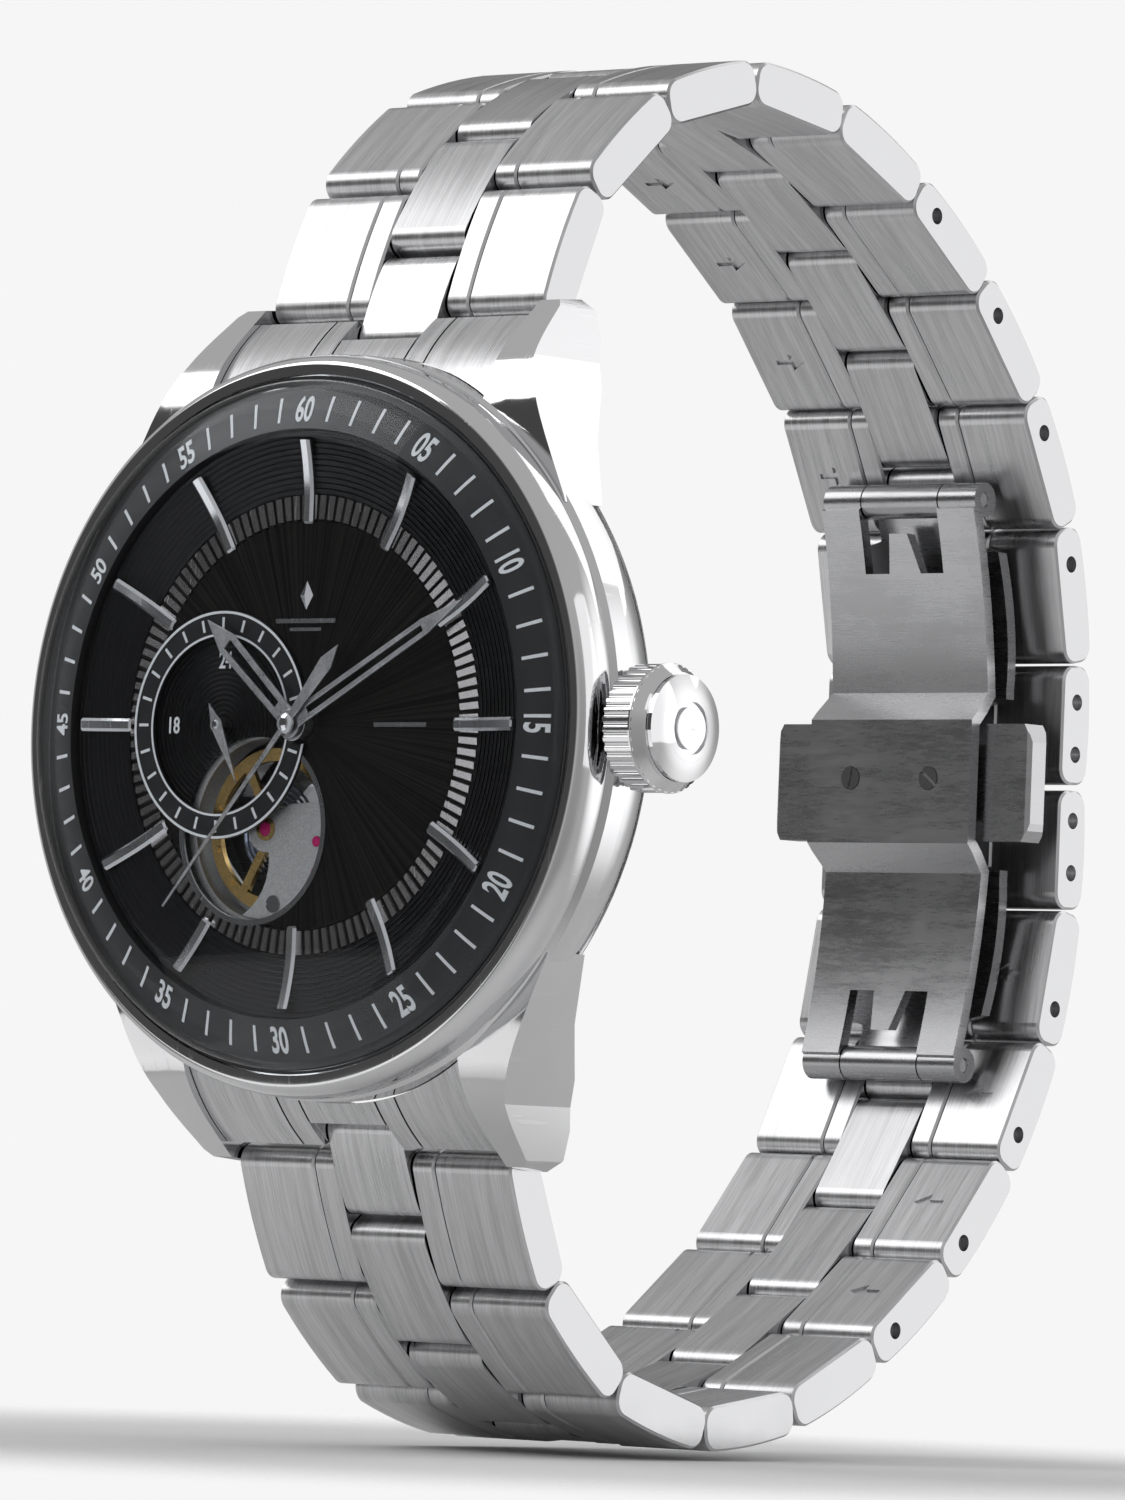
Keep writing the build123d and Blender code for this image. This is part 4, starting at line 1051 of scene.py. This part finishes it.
@dataclass
class Dial:
    """Dial plate with its fluted ring, hour batons, small dial numbers and plain ornaments."""

    level: float = -8.5
    flute_radii: tuple[float, float] = (12.05, 13.55)
    flutes: int = 120
    window_centre: tuple[float, float] = (-3.5, -6.1)
    window_radius: float = 5.4
    baton_width: float = 0.78
    baton_start: float = 11.8
    baton_short_start: float = 13.3
    baton_curve_start: float = 13.2
    baton_rise: float = 0.62
    baton_thick: float = 0.36
    baton_end: float = 16.8
    short_hours: tuple[int, ...] = (7, 9)
    small_centre: tuple[float, float] = (-6.3, 0.0)
    small_number_radius: float = 3.85

    def build(self) -> None:
        """Makes the dial's raised and printed pieces."""
        add_piece("flute_ring", self.flute_ring(), DARK_CHROME, "watch_head", Slot.DIAL, crease=12.0)
        add_piece("hour_batons", joined([self.baton(hour) for hour in range(12)]), BATON_STEEL, "watch_head",
                  Slot.POLISHED, ("hour_markers",), crease=25.0)
        add_piece("small_dial_numbers", self.small_numbers(), PRINT, "watch_head", Slot.PRINT)
        add_piece("dial_ornaments", self.ornaments(), BATON_STEEL, "watch_head", Slot.POLISHED, crease=15.0)

    def window_reach(self, turn: np.ndarray) -> np.ndarray:
        """Distance from the dial centre to the far edge of the window along each direction.

        The ray r d meets the circle where r = d.c + sqrt(R^2 - |c|^2 + (d.c)^2).

        Args:
            turn: Clockwise angles from twelve in radians.

        Returns:
            The distances, 0 where the direction misses the window.
        """
        along = np.sin(turn) * self.window_centre[0] + np.cos(turn) * self.window_centre[1]
        apart = self.window_centre[0] ** 2 + self.window_centre[1] ** 2
        inside = self.window_radius ** 2 - apart + along ** 2
        return np.where(inside > 0, along + np.sqrt(np.maximum(inside, 0)), 0.0)

    def flute_ring(self) -> Surface:
        """Ring of slanted bars: each flute rises, slopes down across its width, then drops to the floor.

        Returns:
            The ring as one closed skin.
        """
        phases = np.array([0.0, 0.1, 0.68, 0.74])
        depths = np.array([0.0, 0.2, 0.13, 0.0])
        count = self.flutes
        turn = ((np.arange(count)[:, None] + phases) * 2 * np.pi / count).ravel()
        rise = np.tile(depths, count)
        inner = np.maximum(self.flute_radii[0], self.window_reach(turn) + 0.1)
        floor = self.level + 0.12
        radii = np.stack([inner, inner + 0.05, np.full_like(inner, self.flute_radii[1] - 0.05),
                          np.full_like(inner, self.flute_radii[1])], axis=1)
        ground = np.full_like(rise, floor)
        heights = np.stack([ground, floor - rise, floor - rise, ground], axis=1)
        up, right = np.cos(turn)[:, None], np.sin(turn)[:, None]
        top = DIAL_PLACE.at(radii * up, radii * right, heights - 0.005)
        edges = radii[:, ::3]
        under = DIAL_PLACE.at(edges * up, edges * right, np.full_like(edges, floor + 0.02))
        rings = np.concatenate([top, under[:, ::-1]], axis=1)
        return loft(rings, capped=False, closed_path=True)

    def baton(self, hour: int) -> Surface:
        """Bent bar: a roof-shaped section carried outwards along a line that curves up past the bend.

        Args:
            hour: Hour it marks, 0 for twelve.

        Returns:
            The baton's surface.
        """
        start = self.baton_short_start if hour in self.short_hours else self.baton_start
        reach = np.concatenate([[start, start + 0.12], np.linspace(start + 0.6, self.baton_end - 0.1, 18),
                                [self.baton_end]])
        curved = self.baton_end - self.baton_curve_start
        past = np.maximum(reach - self.baton_curve_start, 0) / curved
        foot = self.level - 0.03 - self.baton_rise * past ** 1.6
        thick = np.full_like(reach, self.baton_thick)
        thick[[0, -1]] = 0.24
        width = np.full_like(reach, self.baton_width / 2)
        width[[0, -1]] -= 0.1
        section = np.array([(-1, 0), (-1, 0.6), (-0.55, 1), (0.55, 1), (1, 0.6), (1, 0)])
        across = section[:, 0] * width[:, None]
        height = foot[:, None] - section[:, 1] * thick[:, None]
        turn = math.radians(30 * hour)
        a = reach[:, None] * math.cos(turn) - across * math.sin(turn)
        b = reach[:, None] * math.sin(turn) + across * math.cos(turn)
        return loft(DIAL_PLACE.at(a, b, height))

    def small_numbers(self) -> Surface:
        """24 at the top and 18 at the left of the small dial.

        Returns:
            Both numbers as one surface.
        """
        shapes = []
        for text, angle in (("24", 0), ("18", 270)):
            shape = lettering(text, 1.0, 0.75, 0.015)
            right, up, thick = shape.points.T
            turn = math.radians(angle)
            a = self.small_centre[1] + self.small_number_radius * math.cos(turn) + up
            b = self.small_centre[0] + self.small_number_radius * math.sin(turn) + right
            shapes.append(Surface(DIAL_PLACE.at(a, b, self.level + 0.1 - thick), shape.faces))
        return joined(shapes)

    def ornaments(self) -> Surface:
        """Plain applied lozenge over two bars, and a plain bar at three o'clock.

        Returns:
            All ornaments as one surface.
        """
        lozenge = np.array([(0, 0.85), (0.5, 0), (0, -0.85), (-0.5, 0)])
        shapes = [pyramid(lozenge + (0, 7.6), self.level, self.level - 0.28)]
        for x, z, half_x, half_z in ((0.0, 6.1, 2.3, 0.13), (0.0, 5.6, 1.2, 0.1), (7.6, 0.0, 2.0, 0.13)):
            bar = np.array([(x - half_x, z - half_z), (x + half_x, z - half_z), (x + half_x, z + half_z),
                            (x - half_x, z + half_z)])
            shapes.append(slab(bar, self.level + 0.01, self.level - 0.1))
        return joined(shapes)

    def dress(self) -> None:
        """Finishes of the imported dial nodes."""
        wear({"dial": DIAL_BLACK, "window_rim": MIRROR, "day_ring": RING_BLACK, "day_scale": PRINT})


def pyramid(outline: np.ndarray, low: float, high: float) -> Surface:
    """Outline of (b, a) points that narrows to a ridge point at its middle.

    Args:
        outline: Points of the foot.
        low: Height of the foot.
        high: Height of the ridge point.

    Returns:
        The pyramid's surface.
    """
    middle = outline.mean(0)
    rings = [(outline, low), (outline, low + 0.3 * (high - low)), (middle + (outline - middle) * 0.02, high)]
    return loft(np.stack([DIAL_PLACE.at(ring[:, 1], ring[:, 0], np.full(len(ring), h)) for ring, h in rings]))


@dataclass
class Hands:
    """Hour, minute and seconds hands with their centre cap, and the hand of the small dial."""

    edge: float = 0.035
    hands: tuple[tuple[str, str], ...] = (("hour_hand", "hour"), ("minute_hand", "minute"),
                                          ("seconds_hand", "seconds"), ("day_hand", "day"))

    def build(self) -> None:
        """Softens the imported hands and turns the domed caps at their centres."""
        for node, body in self.hands:
            softened_copy(node, f"{node}_bevelled", HAND_STEEL, body, Slot.BRUSHED, self.edge)
        cap = [(0.0, -10.05), (0.55, -10.05), (0.6, -10.11), (0.48, -10.21), (0.2, -10.27), (0.0, -10.28)]
        add_piece("seconds_cap", turned(cap, 48), MIRROR, "seconds", Slot.POLISHED)
        stud = Place(origin=(-6.3, 0.0, 0.0))
        day_cap = [(0.0, -9.05), (0.26, -9.05), (0.28, -9.12), (0.18, -9.2), (0.0, -9.22)]
        add_piece("day_cap", turned(day_cap, 36, stud), MIRROR, "day", Slot.POLISHED)


@dataclass
class Movement:
    """Everything seen through the dial window and the back glass."""

    def dress(self) -> None:
        """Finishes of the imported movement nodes."""
        wear({"main_plate": FROSTED, "casing_ring": TURNED, "hairspring": SPRING, "balance_bridge": FROSTED,
              "jewel_setting": GILT, "jewels": JEWEL, "gear_train": GILT, "rear_bridge": STRIPES,
              "movement_fittings": MIRROR, "balance_wheel": GILT, "rotor": STRIPES, "setting_sleeve": TURNED,
              "stem": TURNED})


@dataclass
class Crown:
    """Fluted winding crown."""

    def dress(self) -> None:
        """Polished crown."""
        wear({"crown": MIRROR})


@dataclass
class Bracelet:
    """Twenty rows of links, brushed along the bracelet with polished sides."""

    rows: int = 10

    def dress(self) -> None:
        """Brushed finish on every row."""
        rows = range(1, self.rows + 1)
        wear({f"{half}_link_{row:02d}": BRUSHED for half in ("upper", "lower") for row in rows})


@dataclass
class Clasp:
    """Folding clasp with its wings and push buttons."""

    def dress(self) -> None:
        """Satin plates and buttons, polished screws."""
        wear({"wing_upper": CLASP_STEEL, "wing_lower": CLASP_STEEL, "clasp_plate": CLASP_STEEL,
              "clasp_catch": CLASP_STEEL, "clasp_fasteners": MIRROR, "button_left": CLASP_STEEL,
              "button_right": CLASP_STEEL})


# ---------------------------------------------------------------- studio


@dataclass
class Studio:
    """Pale floor, soft light and the camera."""

    azimuth: float = 39.8
    elevation: float = -2.7
    roll: float = -2.25
    distance: float = 556.9
    across: float = -15.121
    rise: float = 1.463
    depth: float = -8.5
    lens: float = 228.0
    backdrop: float = 0.92
    surround: float = 0.5
    # direction, half width and softness in degrees, share of light taken away (added when negative)
    cards: tuple[tuple[Vec3, float, float, float], ...] = (
        ((-0.64, -0.77, 0.05), 30.0, 16.0, 0.86),
        ((0.75, -0.55, -0.35), 30.0, 20.0, 0.3),
        ((0.64, 0.77, 0.05), 22.0, 14.0, -2.0),
        ((-0.5, 0.8, 0.2), 26.0, 18.0, 0.6),
        ((0.0, 0.0, -1.0), 50.0, 30.0, 0.15),
    )
    # name, place and side in metres, power in watts
    boxes: tuple[tuple[str, Vec3, float, float], ...] = (
        ("key_box", (-0.5, -0.45, 0.55), 0.5, 1.6),
        ("fill_box", (0.6, 0.1, 0.15), 0.5, 0.5),
        ("rim_box", (0.1, 0.6, 0.5), 0.5, 0.7),
        ("low_box", (-0.35, -0.45, -0.2), 0.3, 0.25),
    )
    centre_y: float = 0.015
    floor_gap: float = 0.0006

    def build(self) -> None:
        """Sets up the whole studio."""
        bpy.context.scene.view_settings.view_transform = "Standard"
        self.camera()
        self.floor()
        self.sky()
        self.lamps()

    def camera(self) -> None:
        """Camera on a sphere round the dial centre, rolled, then slid sideways in its own plane."""
        a, e, r = (math.radians(v) for v in (self.azimuth, self.elevation, self.roll))
        back = Vector((math.sin(a) * math.cos(e), -math.cos(a) * math.cos(e), math.sin(e)))
        right = Vector((math.cos(a), math.sin(a), 0.0))
        up = back.cross(right)
        right, up = right * math.cos(r) - up * math.sin(r), right * math.sin(r) + up * math.cos(r)
        eye = back * self.distance - right * self.across - up * self.rise + Vector((0.0, self.depth, 0.0))
        data = bpy.data.cameras.new("studio_camera")
        data.lens = self.lens
        data.sensor_width = 36.0
        data.clip_start = 0.01
        data.clip_end = 20.0
        camera = bpy.data.objects.new("studio_camera", data)
        turn = Matrix((right, up, back)).transposed().to_4x4()
        camera.matrix_world = Matrix.Translation(eye * MM) @ turn
        bpy.context.scene.collection.objects.link(camera)
        bpy.context.scene.camera = camera

    def floor(self) -> None:
        """Round pale floor just under the bracelet that fades into the background."""
        low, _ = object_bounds()
        level = low[2] - self.floor_gap
        radii = np.array([0.0, 0.05, 0.1, 0.2, 0.4, 0.8])
        turn = np.linspace(0, 2 * np.pi, 96, endpoint=False)
        x = radii[:, None] * np.cos(turn)
        y = radii[:, None] * np.sin(turn) + self.centre_y
        rings = np.stack([x, y, np.full_like(x, level)], axis=-1) / MM
        surface = loft(rings, capped=False)
        mesh = bpy.data.meshes.new("studio_floor")
        mesh.from_pydata((surface.points * MM).tolist(), [], surface.faces[0].tolist())
        work = bmesh.new()
        work.from_mesh(mesh)
        bmesh.ops.remove_doubles(work, verts=work.verts, dist=COPY_SEAM)
        work.to_mesh(mesh)
        work.free()
        mesh.materials.append(FloorPaper("floor_paper").material())
        floor = bpy.data.objects.new("studio_floor", mesh)
        bpy.context.scene.collection.objects.link(floor)
        floor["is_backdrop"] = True

    def sky(self) -> None:
        """Even grey surround with soft dark cards and one bright card that give the metal its contrast."""
        world = bpy.data.worlds.new("studio_surround")
        bpy.context.scene.world = world
        world.use_nodes = True
        graph = Graph(world.node_tree)
        heading = graph.vector_math("NORMALIZE", graph.node("TexCoord").outputs["Generated"]).outputs[0]
        value: object = self.surround
        for direction, wide, soft, amount in self.cards:
            length = math.sqrt(sum(c * c for c in direction))
            axis = tuple(c / length for c in direction)
            near = graph.vector_math("DOT_PRODUCT", heading, axis).outputs["Value"]
            faint, full = (math.cos(math.radians(wide + step)) for step in (soft, -soft))
            taken = graph.math("MULTIPLY", graph.between(near, faint, full), amount)
            value = graph.math("MULTIPLY", value, graph.math("SUBTRACT", 1.0, taken))
        seen = graph.node("LightPath").outputs["Is Camera Ray"]
        colour = graph.blend(seen, graph.node("CombineColor", {0: value, 1: value, 2: value}).outputs[0],
                             (self.backdrop, self.backdrop, self.backdrop, 1.0))
        shine = graph.node("Background", {"Color": colour, "Strength": 1.0}).outputs[0]
        graph.node("OutputWorld", {"Surface": shine})

    def lamps(self) -> None:
        """Large soft boxes: key from the upper left, fill low on the right, rim behind."""
        for name, place, size, power in self.boxes:
            data = bpy.data.lights.new(name, "AREA")
            data.shape = "SQUARE"
            data.size = size
            data.energy = power
            lamp = bpy.data.objects.new(name, data)
            lamp.location = place
            aim = Vector((0.0, self.centre_y, 0.0)) - Vector(place)
            lamp.rotation_euler = aim.to_track_quat("-Z", "Y").to_euler()
            bpy.context.scene.collection.objects.link(lamp)


@dataclass(frozen=True)
class FloorPaper(Finish):
    """Matt pale paper that fades away from the watch."""

    def shade(self, graph: Graph) -> bpy.types.NodeSocket:
        """Paper near the watch, nothing far from it.

        Args:
            graph: Node tree of the material.

        Returns:
            Output of the finished shader.
        """
        spot = graph.mapped((1, 1, 0), (0, -0.015, 0))
        away = graph.vector_math("LENGTH", spot).outputs["Value"]
        fade = graph.between(away, 0.035, 0.085)
        fleck = graph.noise(graph.mapped(), 600.0, 3.0)
        colour = graph.blend(fleck, (0.86, 0.86, 0.86, 1.0), (0.89, 0.89, 0.89, 1.0))
        paper = graph.node("BsdfPrincipled", {"Base Color": colour, "Roughness": 0.9}).outputs[0]
        clear = graph.node("BsdfTransparent").outputs[0]
        return graph.node("MixShader", {0: fade, 1: paper, 2: clear}).outputs[0]


def main() -> None:
    """Builds and dresses the watch, sub-assembly by sub-assembly, then the studio."""
    logging.basicConfig(level=logging.INFO, format="%(name)s: %(message)s")
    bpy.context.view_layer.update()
    case, scale, dial, hands = WatchCase(), MinuteScale(), Dial(), Hands()
    for part in (case, scale, dial, hands):
        part.build()
    for part in (case, scale, dial, Movement(), Crown(), Bracelet(), Clasp()):
        part.dress()
    Studio().build()


if __name__ == "__main__":
    main()
